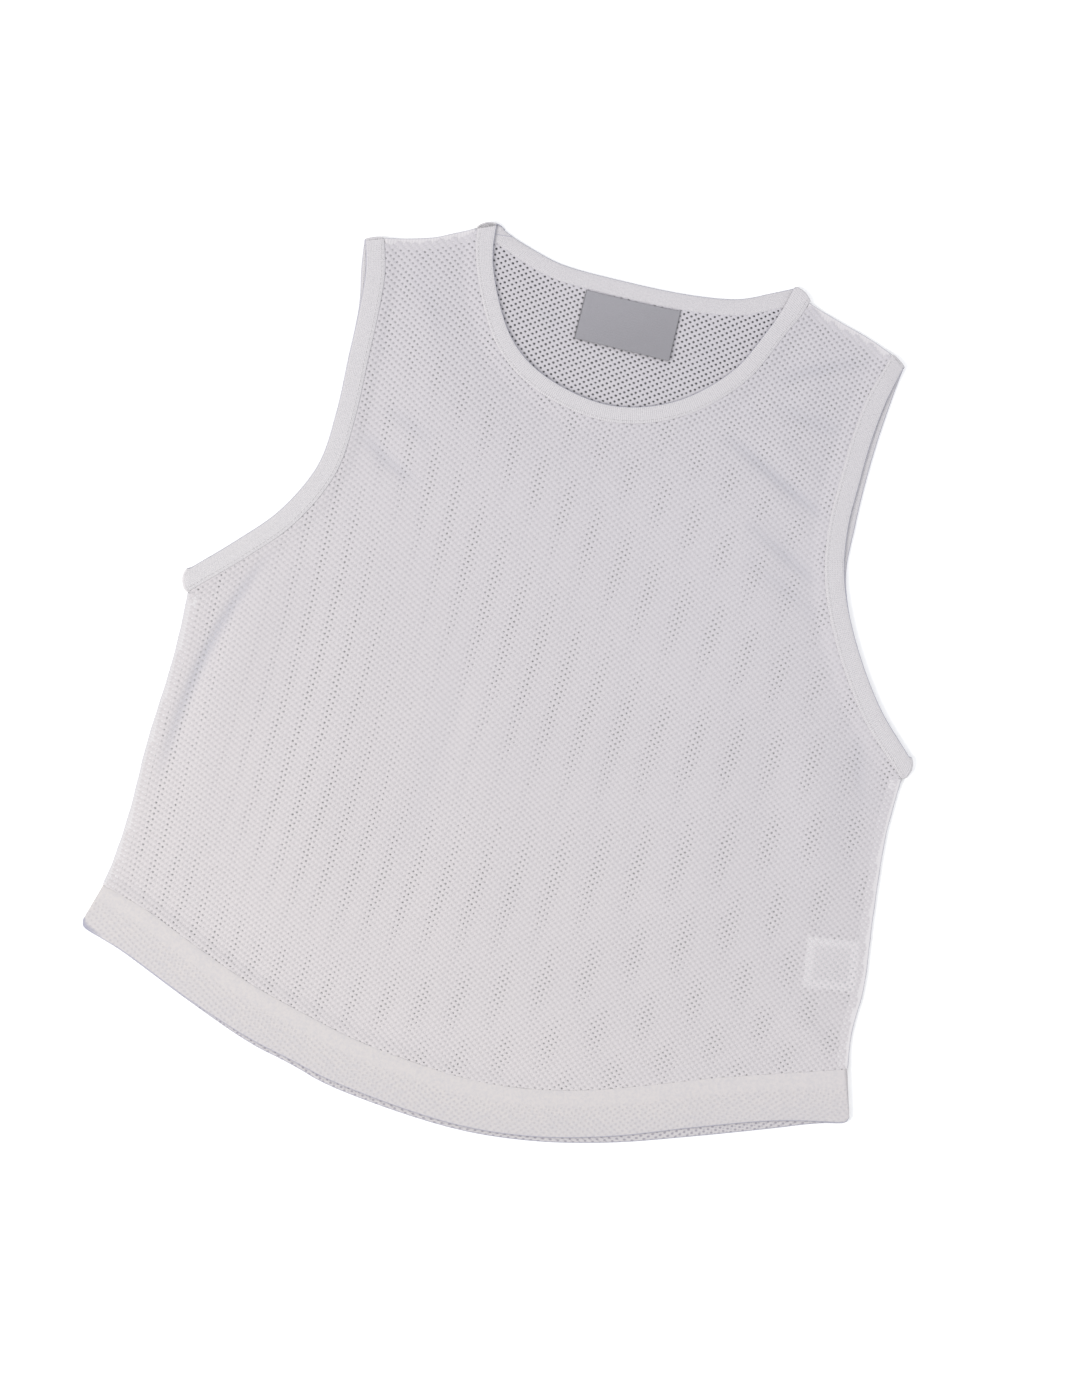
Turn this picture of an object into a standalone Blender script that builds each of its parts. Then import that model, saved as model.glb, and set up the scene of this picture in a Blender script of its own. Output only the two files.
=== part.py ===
"""A sleeveless training bib of open mesh cloth, laid flat on a surface with its front up.

Metres, +Z up, +Y from the hem to the neck, +X to the right as seen from above. The origin is
the middle of the garment's box at the surface it lies on. Tables and sizes are in millimetres.
Each cloth piece is a thin wall of its own: the back lies on the surface, the labels lie on the
back, and the front lies over them with its soft folds. Knit tape runs round the neck and the
armholes as closed rings that turn over at the shoulders and under the arms.
"""

import math

import bmesh
import bpy
import numpy as np
from mathutils import Vector
from mathutils.geometry import delaunay_2d_cdt

MM = 0.001

# Thickness of each kind of wall, and the gap left between sewn pieces
MESH_WALL = 1.0
HEM_WALL = 1.4
TAPE_WALL = 1.5
LABEL_WALL = 1.0
SEAM_GAP = 0.3

# Widths across the sewn strips
NECK_TAPE_WIDTH = 10.5
ARM_TAPE_WIDTH = 12.4
HEM_DEPTH = 30.0

# Middle heights of the layers over the surface
BACK_PANEL_MID = MESH_WALL / 2
BACK_HEM_MID = HEM_WALL / 2
BACK_TAPE_MID = TAPE_WALL / 2
LABEL_MID = MESH_WALL + SEAM_GAP + LABEL_WALL / 2
FRONT_LAID_MID = MESH_WALL + SEAM_GAP + MESH_WALL / 2
FRONT_HEM_MID = HEM_WALL + SEAM_GAP + HEM_WALL / 2
FRONT_TAPE_MID = TAPE_WALL + SEAM_GAP + TAPE_WALL / 2

# How far the front rises to its sewn edges, and how wide that slope is
TAPE_LIFT = FRONT_TAPE_MID - FRONT_LAID_MID
HEM_LIFT = FRONT_HEM_MID - FRONT_LAID_MID
LIFT_REACH = 26.0

# Air between the layers, which dies out towards every edge
PUFF_HEIGHT = 1.5
PUFF_REACH = 48.0

# Segments along each edge, and the step of the net of points inside the front
NECK_STEPS = 26
SHOULDER_STEPS = 4
SIDE_STEPS = 16
ARM_STEPS = 24
BACK_NECK_STEPS = 22
TURN_STEPS = 4
HEM_STEPS = 40
HEM_END_STEPS = 3
SPLINE_STEPS = 16
CLOSE_STEPS = 6
NET_STEP = 12.5
NET_CLEAR = 0.6
TRIANGLES_INSIDE = 1
NEAR = 1e-6

# tape, bulge where it starts, bulge where it ends: how far its turns pass the seam at mid width
TURN_BULGES = (
    ("neck", 0.7, 2.1),
    ("armhole", 0.5, 3.4),
)
TURN_CORNER_LOSS = 0.75

# A strip's seam edge is drawn over to its own end points within this many of its widths
END_REACH = 2.5

# place, x, y: free edge of the front neck tape, from the left neck point to the right one
FRONT_NECK = (
    ("left neck point", -98.4, 275.3),
    ("left side", -97.0, 260.1),
    ("left curve", -92.0, 243.4),
    ("left turn", -72.6, 208.4),
    ("left of middle", -48.6, 190.8),
    ("lowest", -3.6, 181.6),
    ("right of middle", 36.4, 193.6),
    ("right turn", 67.4, 221.4),
    ("right curve", 80.8, 247.4),
    ("right side", 87.8, 264.2),
    ("right neck point", 91.8, 279.5),
)

# place, x, y: free edge of the back neck tape
BACK_NECK = (
    ("left neck point", -98.4, 275.3),
    ("left slope", -89.4, 272.4),
    ("left curve", -74.0, 265.6),
    ("left flat", -54.0, 260.4),
    ("middle", -16.0, 259.0),
    ("right flat", 31.0, 260.5),
    ("right curve", 60.8, 265.2),
    ("right slope", 76.6, 272.2),
    ("right neck point", 91.8, 279.5),
)

# side, neck tape seam x, y, arm tape seam x, y: where the tapes end on the shoulder line
SHOULDER_ENDS = (
    ("left", -109.2, 269.2, -164.4, 249.4),
    ("right", 103.2, 272.6, 161.2, 253.2),
)

# place, left x, left y, right x, right y: shoulder line between the tapes
SHOULDER = (
    ("by the arm", -153.7, 251.8, 149.0, 258.4),
    ("middle", -138.0, 255.8, 136.0, 262.4),
    ("by the neck", -121.0, 263.4, 117.0, 268.0),
)

# place, left x, left y, left show, right x, right y, right show: free edge of each front
# armhole tape, and how far the back tape shows beyond it
ARMHOLE = (
    ("shoulder", -175.6, 245.4, 0.6, 170.2, 246.8, 0.2),
    ("below shoulder", -171.2, 229.0, 3.0, 165.2, 226.0, 2.6),
    ("upper", -169.4, 206.0, 0.6, 161.6, 198.0, 3.6),
    ("above the middle", -168.6, 170.0, 0.2, 160.4, 168.0, 3.6),
    ("middle", -168.0, 138.0, 0.0, 160.2, 142.0, 4.0),
    ("lower", -171.2, 103.0, 0.0, 165.0, 112.0, 1.0),
    ("turn", -187.6, 69.6, 0.0, 179.2, 78.2, 0.0),
    ("by the underarm", -210.0, 44.4, 0.0, 205.6, 37.8, 0.0),
    ("underarm", -234.0, 20.8, 0.0, 230.6, 12.0, 0.0),
)

# side, x, y: where each armhole tape seam meets the side seam
UNDERARM_ENDS = (
    ("left", -231.4, 6.4),
    ("right", 229.0, -2.4),
)

# place, left x, left y, right x, right y: side seams, from the hem up
SIDE = (
    ("above the hem", -237.3, -168.0, 236.2, -164.0),
    ("lower", -234.6, -136.0, 237.0, -136.0),
    ("middle", -234.1, -92.0, 232.2, -92.0),
    ("upper", -230.8, -40.0, 228.0, -40.0),
    ("below the underarm", -230.7, -12.0, 228.6, -14.0),
)

# place, x, front y, back y: lower edge of the hems, with rounded ends
HEM_EDGE = (
    ("left end", -247.4, -208.6, -208.6),
    ("left corner", -246.2, -212.6, -212.6),
    ("left foot", -240.6, -215.6, -215.6),
    ("beside the left foot", -229.6, -218.2, -218.4),
    ("far left", -213.6, -224.0, -224.6),
    ("left", -170.5, -242.0, -242.9),
    ("left middle", -128.0, -256.8, -259.1),
    ("left of the lowest", -100.5, -263.4, -265.9),
    ("middle left", -73.5, -270.1, -273.4),
    ("lowest", 6.0, -278.5, -281.2),
    ("middle right", 56.6, -274.7, -277.5),
    ("right middle", 105.5, -262.9, -266.9),
    ("right", 152.8, -246.0, -251.7),
    ("far right", 200.5, -230.0, -235.0),
    ("right foot", 229.0, -223.4, -224.6),
    ("beside the right corner", 240.6, -221.2, -221.6),
    ("right corner", 246.0, -219.6, -219.8),
    ("right end", 247.4, -216.4, -216.4),
)

# side, x, y: upper corners of the hems at the side seams
HEM_CORNERS = (
    ("left", -240.1, -184.6),
    ("right", 239.0, -187.0),
)

# name, start x, start y, end x, end y, bow, half width, height: the front's largest folds
FOLDS = (
    ("trough under the left armhole", -191.0, 45.0, -225.0, -103.0, -8.5, 8.0, -1.5),
    ("roll beside that trough", -172.0, 47.0, -205.0, -117.0, -8.0, 15.0, 1.1),
    ("short pull by the left armhole", -150.0, 131.0, -92.0, 91.0, -3.0, 8.0, -0.9),
    ("long pull by the right armhole", 62.0, 189.0, 148.0, 129.0, 4.0, 9.0, -1.0),
    ("second pull by the right armhole", 82.0, 155.0, 172.0, 83.0, 5.0, 9.0, -1.0),
    ("crease on the right shoulder", 108.0, 239.0, 150.0, 209.0, 3.0, 8.0, -0.7),
    ("hollow under the right armhole", 196.0, 21.0, 222.0, -47.0, -5.0, 10.0, -1.2),
    ("roll beside that hollow", 168.0, 25.0, 204.0, -87.0, -8.0, 15.0, 1.0),
    ("left body wave", -118.0, 63.0, -136.0, -187.0, 6.0, 24.0, 0.9),
    ("middle body wave", -12.0, 123.0, -22.0, -197.0, -8.0, 30.0, 0.8),
    ("right body wave", 104.0, 73.0, 118.0, -187.0, 7.0, 26.0, 0.9),
    ("wave by the right hem", 190.0, -165.0, 232.0, -179.0, 2.0, 9.0, 0.8),
)

# A fold fades to nothing at both ends, a little more steeply than a sine does
FOLD_END_POWER = 0.8

# Neck label: its upper edge follows the back neck tape, and its foot spreads and curls
NECK_LABEL_LEFT = -34.0
NECK_LABEL_RIGHT = 26.6
NECK_LABEL_FOOT = 217.0
NECK_LABEL_STEPS = 8
NECK_LABEL_CURL = 0.7
NECK_LABEL_CURL_SHARE = 0.6
NECK_LABEL_SPREAD = 1.01
NECK_LABEL_SLACK = 0.1

# Care label: a small rectangle that the right side seam holds
CARE_LABEL_MIDDLE = (214.0, -125.8)
CARE_LABEL_SIZE = (33.0, 32.0)
CARE_LABEL_TURN = math.radians(8.0)
CARE_LABEL_MARGIN = 14.0
CARE_LABEL_SLOPE = 16.0
CARE_LABEL_EASE = 0.05
CARE_LABEL_LIFT = LABEL_WALL + SEAM_GAP + CARE_LABEL_EASE

# across (0 free edge, 1 seam edge), through (-1 inner face, 1 outer face): a strip's section
STRIP_SECTION = (
    (0.0, 0.0),
    (0.06, 1.0),
    (0.5, 1.0),
    (0.96, 1.0),
    (1.0, 0.0),
    (0.96, -1.0),
    (0.5, -1.0),
    (0.06, -1.0),
)

WHITE_MESH = ("white_mesh", (0.80, 0.79, 0.81), 0.9)
WHITE_TAPE = ("white_knit_tape", (0.84, 0.83, 0.85), 0.85)
GREY_LABEL = ("grey_woven_label", (0.39, 0.39, 0.40), 0.6)
WHITE_LABEL = ("white_woven_label", (0.86, 0.86, 0.86), 0.6)
SHARP_ANGLE = math.radians(40.0)


def ease(t):
    """0 below 0, 1 above 1, and a soft slope between."""
    t = np.clip(t, 0.0, 1.0)
    return t * t * (3.0 - 2.0 * t)


def lengths_along(points):
    """Distance from the first point to each point of a line."""
    steps = np.linalg.norm(np.diff(points, axis=0), axis=1)
    return np.concatenate(([0.0], np.cumsum(steps)))


def spread(points, steps):
    """The line again, with its points at even distances."""
    along = lengths_along(points)
    wanted = np.linspace(0.0, along[-1], steps + 1)
    columns = [np.interp(wanted, along, points[:, c]) for c in range(points.shape[1])]
    return np.stack(columns, axis=1)


def smooth_line(points, steps):
    """A smooth curve through the points, with centripetal spacing so that it doesn't bulge."""
    points = np.array(points, float)
    first = 2.0 * points[0] - points[1]
    last = 2.0 * points[-1] - points[-2]
    held = np.vstack((first, points, last))
    found = []
    for a, b, c, d in zip(held, held[1:], held[2:], held[3:]):
        knots = [0.0]
        for p, q in ((a, b), (b, c), (c, d)):
            knots.append(knots[-1] + math.sqrt(np.linalg.norm(q[:2] - p[:2])))
        k0, k1, k2, k3 = knots
        t = np.linspace(k1, k2, SPLINE_STEPS, endpoint=False)[:, None]
        ab = (k1 - t) / (k1 - k0) * a + (t - k0) / (k1 - k0) * b
        bc = (k2 - t) / (k2 - k1) * b + (t - k1) / (k2 - k1) * c
        cd = (k3 - t) / (k3 - k2) * c + (t - k2) / (k3 - k2) * d
        abc = (k2 - t) / (k2 - k0) * ab + (t - k0) / (k2 - k0) * bc
        bcd = (k3 - t) / (k3 - k1) * bc + (t - k1) / (k3 - k1) * cd
        found.append((k2 - t) / (k2 - k1) * abc + (t - k1) / (k2 - k1) * bcd)
    found.append(points[-1:])
    return spread(np.vstack(found), steps)


def left_hand(line):
    """Unit vectors to the left of the way along a line."""
    way = np.gradient(line, axis=0)
    way /= np.linalg.norm(way, axis=1)[:, None]
    return np.stack((-way[:, 1], way[:, 0]), axis=1)


def beside(line, width, hand, start, end):
    """A line at that distance on one hand, drawn over to its own start and end points."""
    moved = line + hand * width * left_hand(line)
    along = lengths_along(line)
    reach = END_REACH * width
    near_start = ease(1.0 - along / reach)[:, None]
    near_end = ease(1.0 - (along[-1] - along) / reach)[:, None]
    return moved + near_start * (start - moved[0]) + near_end * (end - moved[-1])


def past(free, seam, gap):
    """Points just beyond a strip's seam edge, where the next piece begins."""
    across = seam - free
    return seam + gap * across / np.linalg.norm(across, axis=1)[:, None]


def row(table, name):
    """The numbers of a table's row."""
    return next(np.array(r[1:], float) for r in table if r[0] == name)


def side_of(name):
    """Which of a two-sided table's column groups a side has, the left one first."""
    return {"left": 0, "right": 1}[name]


def armhole(name):
    """Free and seam edges of an armhole tape, front and back, from shoulder to underarm."""
    column = 1 + 3 * side_of(name)
    line = smooth_line([r[column : column + 3] for r in ARMHOLE], ARM_STEPS)
    free, show = line[:, :2], line[:, 2:]
    hand = 1.0 if name == "left" else -1.0
    ends = row(SHOULDER_ENDS, name)[2:], row(UNDERARM_ENDS, name)
    seam = beside(free, ARM_TAPE_WIDTH, hand, *ends)
    outward = (free - seam) / np.linalg.norm(free - seam, axis=1)[:, None]
    return {
        "front": (free, seam),
        "back": (free + show * outward, seam + show * outward),
    }


def neck_edge(table, steps):
    """Free and seam edges of the neck tape, from the left neck point to the right one."""
    free = smooth_line([r[1:] for r in table], steps)
    ends = row(SHOULDER_ENDS, "left")[:2], row(SHOULDER_ENDS, "right")[:2]
    return free, beside(free, NECK_TAPE_WIDTH, -1.0, *ends)


def hem_edge(column):
    """Lower and upper edges of a hem, from left to right."""
    rows = [(r[1], r[column]) for r in HEM_EDGE]
    low = np.vstack((rows[0], smooth_line(rows[1:-1], HEM_STEPS - 2), rows[-1]))
    moved = low + HEM_DEPTH * left_hand(low)
    inner = moved[HEM_END_STEPS:-HEM_END_STEPS:HEM_END_STEPS]
    ends = row(HEM_CORNERS, "left"), row(HEM_CORNERS, "right")
    return low, smooth_line([ends[0], *inner, ends[1]], HEM_STEPS)


def shoulder_line(name, arm_end, neck_end):
    """Shoulder line of a panel from the arm tape to the neck tape."""
    column = 1 + 2 * side_of(name)
    between = [r[column : column + 2] for r in SHOULDER]
    return smooth_line([arm_end, *between, neck_end], SHOULDER_STEPS)


def side_line(name, hem_end, arm_end):
    """Side edge of a panel from the hem up to the armhole tape."""
    column = 1 + 2 * side_of(name)
    between = [r[column : column + 2] for r in SIDE]
    return smooth_line([hem_end, *between, arm_end], SIDE_STEPS)


def panel_edges(layer, neck, hem, arms):
    """The four sides of a panel: hem, right, top and left, each as a line of points."""
    foot = past(*hem, SEAM_GAP)
    throat = past(*neck, SEAM_GAP)
    uprights = {}
    shoulders = {}
    for name, corner, neck_end in (("left", 0, throat[0]), ("right", -1, throat[-1])):
        arm = past(*arms[name][layer], SEAM_GAP)
        side = side_line(name, foot[corner], arm[-1])
        uprights[name] = np.vstack((side[:-1], arm[::-1]))
        shoulders[name] = shoulder_line(name, arm[0], neck_end)
    top = np.vstack((shoulders["left"][:-1], throat, shoulders["right"][::-1][1:]))
    return foot, uprights["right"], top, uprights["left"]


def outline(foot, right, top, left):
    """The closed line round a panel, anticlockwise from the left end of its hem seam."""
    return np.vstack((foot, right[1:], top[::-1][1:], left[::-1][1:-1]))


def inside(rim, points):
    """Which points lie inside a closed line."""
    x, y = points[:, :1], points[:, 1:]
    x0, y0 = rim[:, 0], rim[:, 1]
    x1, y1 = np.roll(x0, -1), np.roll(y0, -1)
    side = (y - y0) * (x1 - x0) - (x - x0) * (y1 - y0)
    left_of = np.where(y1 > y0, side > 0.0, side < 0.0)
    crossed = ((y0 > y) != (y1 > y)) & left_of
    return crossed.sum(axis=1) % 2 == 1


def net_inside(rim):
    """An even net of points inside a closed line and clear of it."""
    low, high = rim.min(axis=0), rim.max(axis=0)
    rows = []
    for k, y in enumerate(np.arange(low[1], high[1], NET_STEP * math.sin(math.pi / 3))):
        x = np.arange(low[0] + k % 2 * NET_STEP / 2, high[0], NET_STEP)
        rows.append(with_height(x[:, None], y))
    net = np.vstack(rows)
    clear = distance_to(np.vstack((rim, rim[:1])), net) > NET_CLEAR * NET_STEP
    return net[clear & inside(rim, net)]


def distance_to(line, points):
    """Distance from each point to the nearest of a line's points, taken closely."""
    close = spread(line, CLOSE_STEPS * (len(line) - 1))
    gaps = points[:, None, :] - close[None, :, :]
    return np.sqrt((gaps**2).sum(axis=2)).min(axis=1)


def fold_height(points):
    """Sum of the front's folds at each point."""
    total = np.zeros(len(points))
    for _, x0, y0, x1, y1, bow, half_width, height in FOLDS:
        start, run = np.array((x0, y0)), np.array((x1 - x0, y1 - y0))
        length = np.linalg.norm(run)
        way = run / length
        t = (points - start) @ way / length
        off = (points - start) @ np.array((-way[1], way[0]))
        held = np.clip(t, 0.0, 1.0)
        off = off - bow * np.sin(math.pi * held)
        fade = np.sin(math.pi * held) ** FOLD_END_POWER
        total += height * fade * np.exp(-((off / half_width) ** 2))
    return total


def care_label_lift(points):
    """How far the care label holds the front up."""
    turned = points - np.array(CARE_LABEL_MIDDLE)
    c, s = math.cos(CARE_LABEL_TURN), math.sin(CARE_LABEL_TURN)
    across = np.abs(turned @ np.array((c, s))) - CARE_LABEL_SIZE[0] / 2
    along = np.abs(turned @ np.array((-s, c))) - CARE_LABEL_SIZE[1] / 2
    away = np.hypot(np.maximum(across, 0.0), np.maximum(along, 0.0))
    return CARE_LABEL_LIFT * ease(1.0 - (away - CARE_LABEL_MARGIN) / CARE_LABEL_SLOPE)


def front_mid(points, foot, right, top, left):
    """Height of the middle of the front panel's wall over each point."""
    arms = np.minimum(
        distance_to(right[SIDE_STEPS:], points),
        distance_to(left[SIDE_STEPS:], points),
    )
    neck = distance_to(top[SHOULDER_STEPS:-SHOULDER_STEPS], points)
    hem = distance_to(foot, points)
    round_it = outline(foot, right, top, left)
    rim = distance_to(np.vstack((round_it, round_it[:1])), points)
    tape_rise = TAPE_LIFT * ease(1.0 - np.minimum(arms, neck) / LIFT_REACH)
    hem_rise = HEM_LIFT * ease(1.0 - hem / LIFT_REACH)
    air = PUFF_HEIGHT * ease(rim / PUFF_REACH) + fold_height(points) * ease(rim / LIFT_REACH)
    lift = np.maximum(tape_rise, hem_rise) + np.maximum(air, 0.0)
    return FRONT_LAID_MID + np.maximum(lift, care_label_lift(points))


def material(name, colour, roughness):
    """A plain cloth material."""
    made = bpy.data.materials.get(name)
    if made is None:
        made = bpy.data.materials.new(name)
        made.use_nodes = True
        shader = made.node_tree.nodes["Principled BSDF"]
        shader.inputs["Base Color"].default_value = (*colour, 1.0)
        shader.inputs["Roughness"].default_value = roughness
        shader.inputs["Metallic"].default_value = 0.0
    return made


def solid(name, points, faces, finish):
    """A closed mesh object from points in millimetres, with its faces turned outwards."""
    mesh = bpy.data.meshes.new(name)
    mesh.from_pydata([tuple(p * MM) for p in points], [], faces)
    work = bmesh.new()
    work.from_mesh(mesh)
    bmesh.ops.recalc_face_normals(work, faces=work.faces)
    work.to_mesh(mesh)
    work.free()
    mesh.shade_smooth()
    mesh.set_sharp_from_angle(angle=SHARP_ANGLE)
    mesh.materials.append(material(*finish))
    made = bpy.data.objects.new(name, mesh)
    bpy.context.scene.collection.objects.link(made)
    return made


def with_height(points, height):
    """Points with one more column, such as flat points raised to a height."""
    return np.column_stack((points, np.broadcast_to(height, len(points))))


def grid_solid(name, grid, mid, wall, finish):
    """A wall of even thickness over a grid of flat points, at the middle heights given."""
    rows, columns = grid.shape[:2]
    flat = grid.reshape(-1, 2)
    points = np.vstack((with_height(flat, mid + wall / 2), with_height(flat, mid - wall / 2)))
    under = rows * columns
    faces = []
    for r in range(rows - 1):
        for c in range(columns - 1):
            a = r * columns + c
            quad = (a, a + 1, a + 1 + columns, a + columns)
            faces.append(quad)
            faces.append(tuple(under + i for i in reversed(quad)))
    rim = list(range(columns))
    rim += [r * columns + columns - 1 for r in range(1, rows)]
    rim += [(rows - 1) * columns + c for c in range(columns - 2, -1, -1)]
    rim += [r * columns for r in range(rows - 2, 0, -1)]
    for a, b in zip(rim, rim[1:] + rim[:1]):
        faces.append((a, a + under, b + under, b))
    return solid(name, points, faces, finish)


def wall_faces(cover, rim_count, under):
    """Faces of a wall from those of its upper side, whose rim comes first in its points."""
    faces = [tuple(face) for face in cover]
    faces += [tuple(under + i for i in reversed(face)) for face in cover]
    for a in range(rim_count):
        b = (a + 1) % rim_count
        faces.append((a, a + under, b + under, b))
    return faces


def flat_solid(name, rim, mid, wall, finish):
    """A flat wall inside a closed line."""
    points = np.vstack((with_height(rim, mid + wall / 2), with_height(rim, mid - wall / 2)))
    return solid(name, points, wall_faces([range(len(rim))], len(rim), len(rim)), finish)


def draped_solid(name, rim, mid_at, wall, finish):
    """A wall of even thickness inside a closed line, at the middle heights of a rule."""
    count = len(rim)
    loop = [(a, (a + 1) % count) for a in range(count)]
    wanted = [Vector(p) for p in np.vstack((rim, net_inside(rim)))]
    placed, _, cover, *_ = delaunay_2d_cdt(wanted, loop, [], TRIANGLES_INSIDE, NEAR)
    flat = np.array(placed)
    mid = mid_at(flat)
    points = np.vstack((with_height(flat, mid + wall / 2), with_height(flat, mid - wall / 2)))
    return solid(name, points, wall_faces(cover, count, len(flat)), finish)


def station(free, seam, height, normal, bulge=(0.0, 0.0)):
    """One section round a strip: its edge points, its outward side, and its bulge at a turn."""
    points = []
    for across, through in STRIP_SECTION:
        flat = free + (seam - free) * across
        corner = (2.0 * across - 1.0) ** 2
        flat = flat + np.array(bulge) * (1.0 - TURN_CORNER_LOSS * corner)
        points.append(np.array((*flat, height)) + normal * through)
    return points


def strip_faces(stations, closed):
    """Faces round a strip of sections, with end caps where it isn't a ring."""
    count, around = len(stations), len(STRIP_SECTION)
    faces = []
    for s in range(count if closed else count - 1):
        t = (s + 1) % count
        for k in range(around):
            n = (k + 1) % around
            faces.append((s * around + k, s * around + n, t * around + n, t * around + k))
    if not closed:
        last = (count - 1) * around
        faces.append(tuple(reversed(range(around))))
        faces.append(tuple(range(last, last + around)))
    return faces


def turn(free, seam, before, bulge):
    """Sections where a tape turns over from the front layer to the back one."""
    line = seam - free
    out = np.array((-line[1], line[0])) / np.linalg.norm(line)
    if np.dot(out, before - free) > 0.0:
        out = -out
    middle = (FRONT_TAPE_MID + BACK_TAPE_MID) / 2
    radius = (FRONT_TAPE_MID - BACK_TAPE_MID) / 2
    found = []
    for step in range(TURN_STEPS + 1):
        angle = math.pi * step / TURN_STEPS
        side, up = math.sin(angle), math.cos(angle)
        normal = np.array((*(out * side), up)) * TAPE_WALL / 2
        shift = out * radius * side
        found.append(
            station(free + shift, seam + shift, middle + radius * up, normal, out * bulge)
        )
    return found


def tape_ring(name, front, back, bulges):
    """A tape that runs along the front, turns over, runs back below and turns over again."""
    up = np.array((0.0, 0.0, TAPE_WALL / 2))
    free, seam = front
    back_free, back_seam = back
    stations = [station(f, s, FRONT_TAPE_MID, up) for f, s in zip(free, seam)]
    stations += turn(free[-1], seam[-1], free[-2], bulges[1])
    under = [station(f, s, BACK_TAPE_MID, -up) for f, s in zip(back_free, back_seam)]
    stations += under[::-1]
    stations += turn(free[0], seam[0], free[1], bulges[0])[::-1]
    points = np.vstack([np.array(s) for s in stations])
    return solid(name, points, strip_faces(stations, True), WHITE_TAPE)


def hem_strip(name, hem, mid):
    """A turned-up hem: a flat strip of doubled mesh."""
    up = np.array((0.0, 0.0, HEM_WALL / 2))
    stations = [station(low, high, mid, up) for low, high in zip(*hem)]
    points = np.vstack([np.array(s) for s in stations])
    return solid(name, points, strip_faces(stations, False), WHITE_MESH)


def neck_label(back_neck):
    """Label on the back panel, its upper edge along the neck tape, its foot a little curled."""
    edge = past(*back_neck, SEAM_GAP)
    x = np.linspace(NECK_LABEL_LEFT, NECK_LABEL_RIGHT, NECK_LABEL_STEPS + 1)
    top = with_height(x[:, None], np.interp(x, edge[:, 0], edge[:, 1]) - NECK_LABEL_SLACK)
    foot = with_height(x[:, None] * NECK_LABEL_SPREAD, NECK_LABEL_FOOT)
    share = np.linspace(0.0, 1.0, NECK_LABEL_STEPS + 1)[:, None, None]
    grid = foot[None] * (1 - share) + top[None] * share
    curl = NECK_LABEL_CURL * ease(1.0 - share / NECK_LABEL_CURL_SHARE) * np.ones((1, len(x), 1))
    return grid_solid("neck_label", grid, LABEL_MID + curl.ravel(), LABEL_WALL, GREY_LABEL)


def care_label():
    """Small label between the panels, held by the right side seam."""
    c, s = math.cos(CARE_LABEL_TURN), math.sin(CARE_LABEL_TURN)
    half_x, half_y = CARE_LABEL_SIZE[0] / 2, CARE_LABEL_SIZE[1] / 2
    corners = ((-half_x, -half_y), (half_x, -half_y), (half_x, half_y), (-half_x, half_y))
    turned = [(c * x - s * y, s * x + c * y) for x, y in corners]
    rim = np.array(turned) + np.array(CARE_LABEL_MIDDLE)
    return flat_solid("care_label", rim, LABEL_MID, LABEL_WALL, WHITE_LABEL)


def front_panel(neck, hem, arms):
    """The front, with its folds, over the back."""
    edges = panel_edges("front", neck, hem, arms)
    rim = outline(*edges)
    return draped_solid(
        "front_panel", rim, lambda flat: front_mid(flat, *edges), MESH_WALL, WHITE_MESH
    )


def back_panel(neck, hem, arms):
    """The back, flat on the surface."""
    rim = outline(*panel_edges("back", neck, hem, arms))
    return flat_solid("back_panel", rim, BACK_PANEL_MID, MESH_WALL, WHITE_MESH)


def build():
    """Clears the scene and makes every piece of the bib."""
    for old in list(bpy.data.objects):
        bpy.data.objects.remove(old)
    front_neck = neck_edge(FRONT_NECK, NECK_STEPS)
    back_neck = neck_edge(BACK_NECK, BACK_NECK_STEPS)
    front_edge = hem_edge(2)
    back_edge = hem_edge(3)
    arms = {name: armhole(name) for name in ("left", "right")}
    back_panel(back_neck, back_edge, arms)
    front_panel(front_neck, front_edge, arms)
    hem_strip("back_hem", back_edge, BACK_HEM_MID)
    hem_strip("front_hem", front_edge, FRONT_HEM_MID)
    tape_ring("neck_binding", front_neck, back_neck, row(TURN_BULGES, "neck"))
    for name, arm in arms.items():
        bulges = row(TURN_BULGES, "armhole")
        tape_ring(f"armhole_binding_{name}", arm["front"], arm["back"], bulges)
    neck_label(back_neck)
    care_label()


build()
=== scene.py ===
"""Looks of the training bib: two layers of open mesh knit, knit tapes, turned-up hems and labels.

The bib lies flat with its front up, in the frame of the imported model: +Z up, +Y from the hem to
the neck. Tables and sizes are in millimetres and repeat the garment's own lines, so each piece
lies where its solid does. Left and right are as seen with the front up.
"""

import math

import bmesh
import bpy
import numpy as np
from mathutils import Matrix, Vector


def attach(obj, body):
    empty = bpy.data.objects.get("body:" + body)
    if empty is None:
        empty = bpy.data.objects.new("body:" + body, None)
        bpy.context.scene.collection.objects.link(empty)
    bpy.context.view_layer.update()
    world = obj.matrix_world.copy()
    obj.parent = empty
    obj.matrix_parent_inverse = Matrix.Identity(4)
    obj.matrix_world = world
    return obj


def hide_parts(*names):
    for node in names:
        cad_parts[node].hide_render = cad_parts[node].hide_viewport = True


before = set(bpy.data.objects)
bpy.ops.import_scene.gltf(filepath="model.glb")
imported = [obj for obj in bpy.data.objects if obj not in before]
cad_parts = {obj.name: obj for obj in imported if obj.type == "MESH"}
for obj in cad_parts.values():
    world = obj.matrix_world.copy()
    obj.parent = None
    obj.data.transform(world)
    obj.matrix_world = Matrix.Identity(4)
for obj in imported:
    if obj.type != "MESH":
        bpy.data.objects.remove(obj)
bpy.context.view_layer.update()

MM = 0.001
UP = np.array((0.0, 0.0, 1.0))

# Walls of the solids that the pieces stand for, and the gap between them
MESH_WALL = 1.0
HEM_WALL = 1.4
TAPE_WALL = 1.5
LABEL_WALL = 1.0
SEAM_GAP = 0.3

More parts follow.
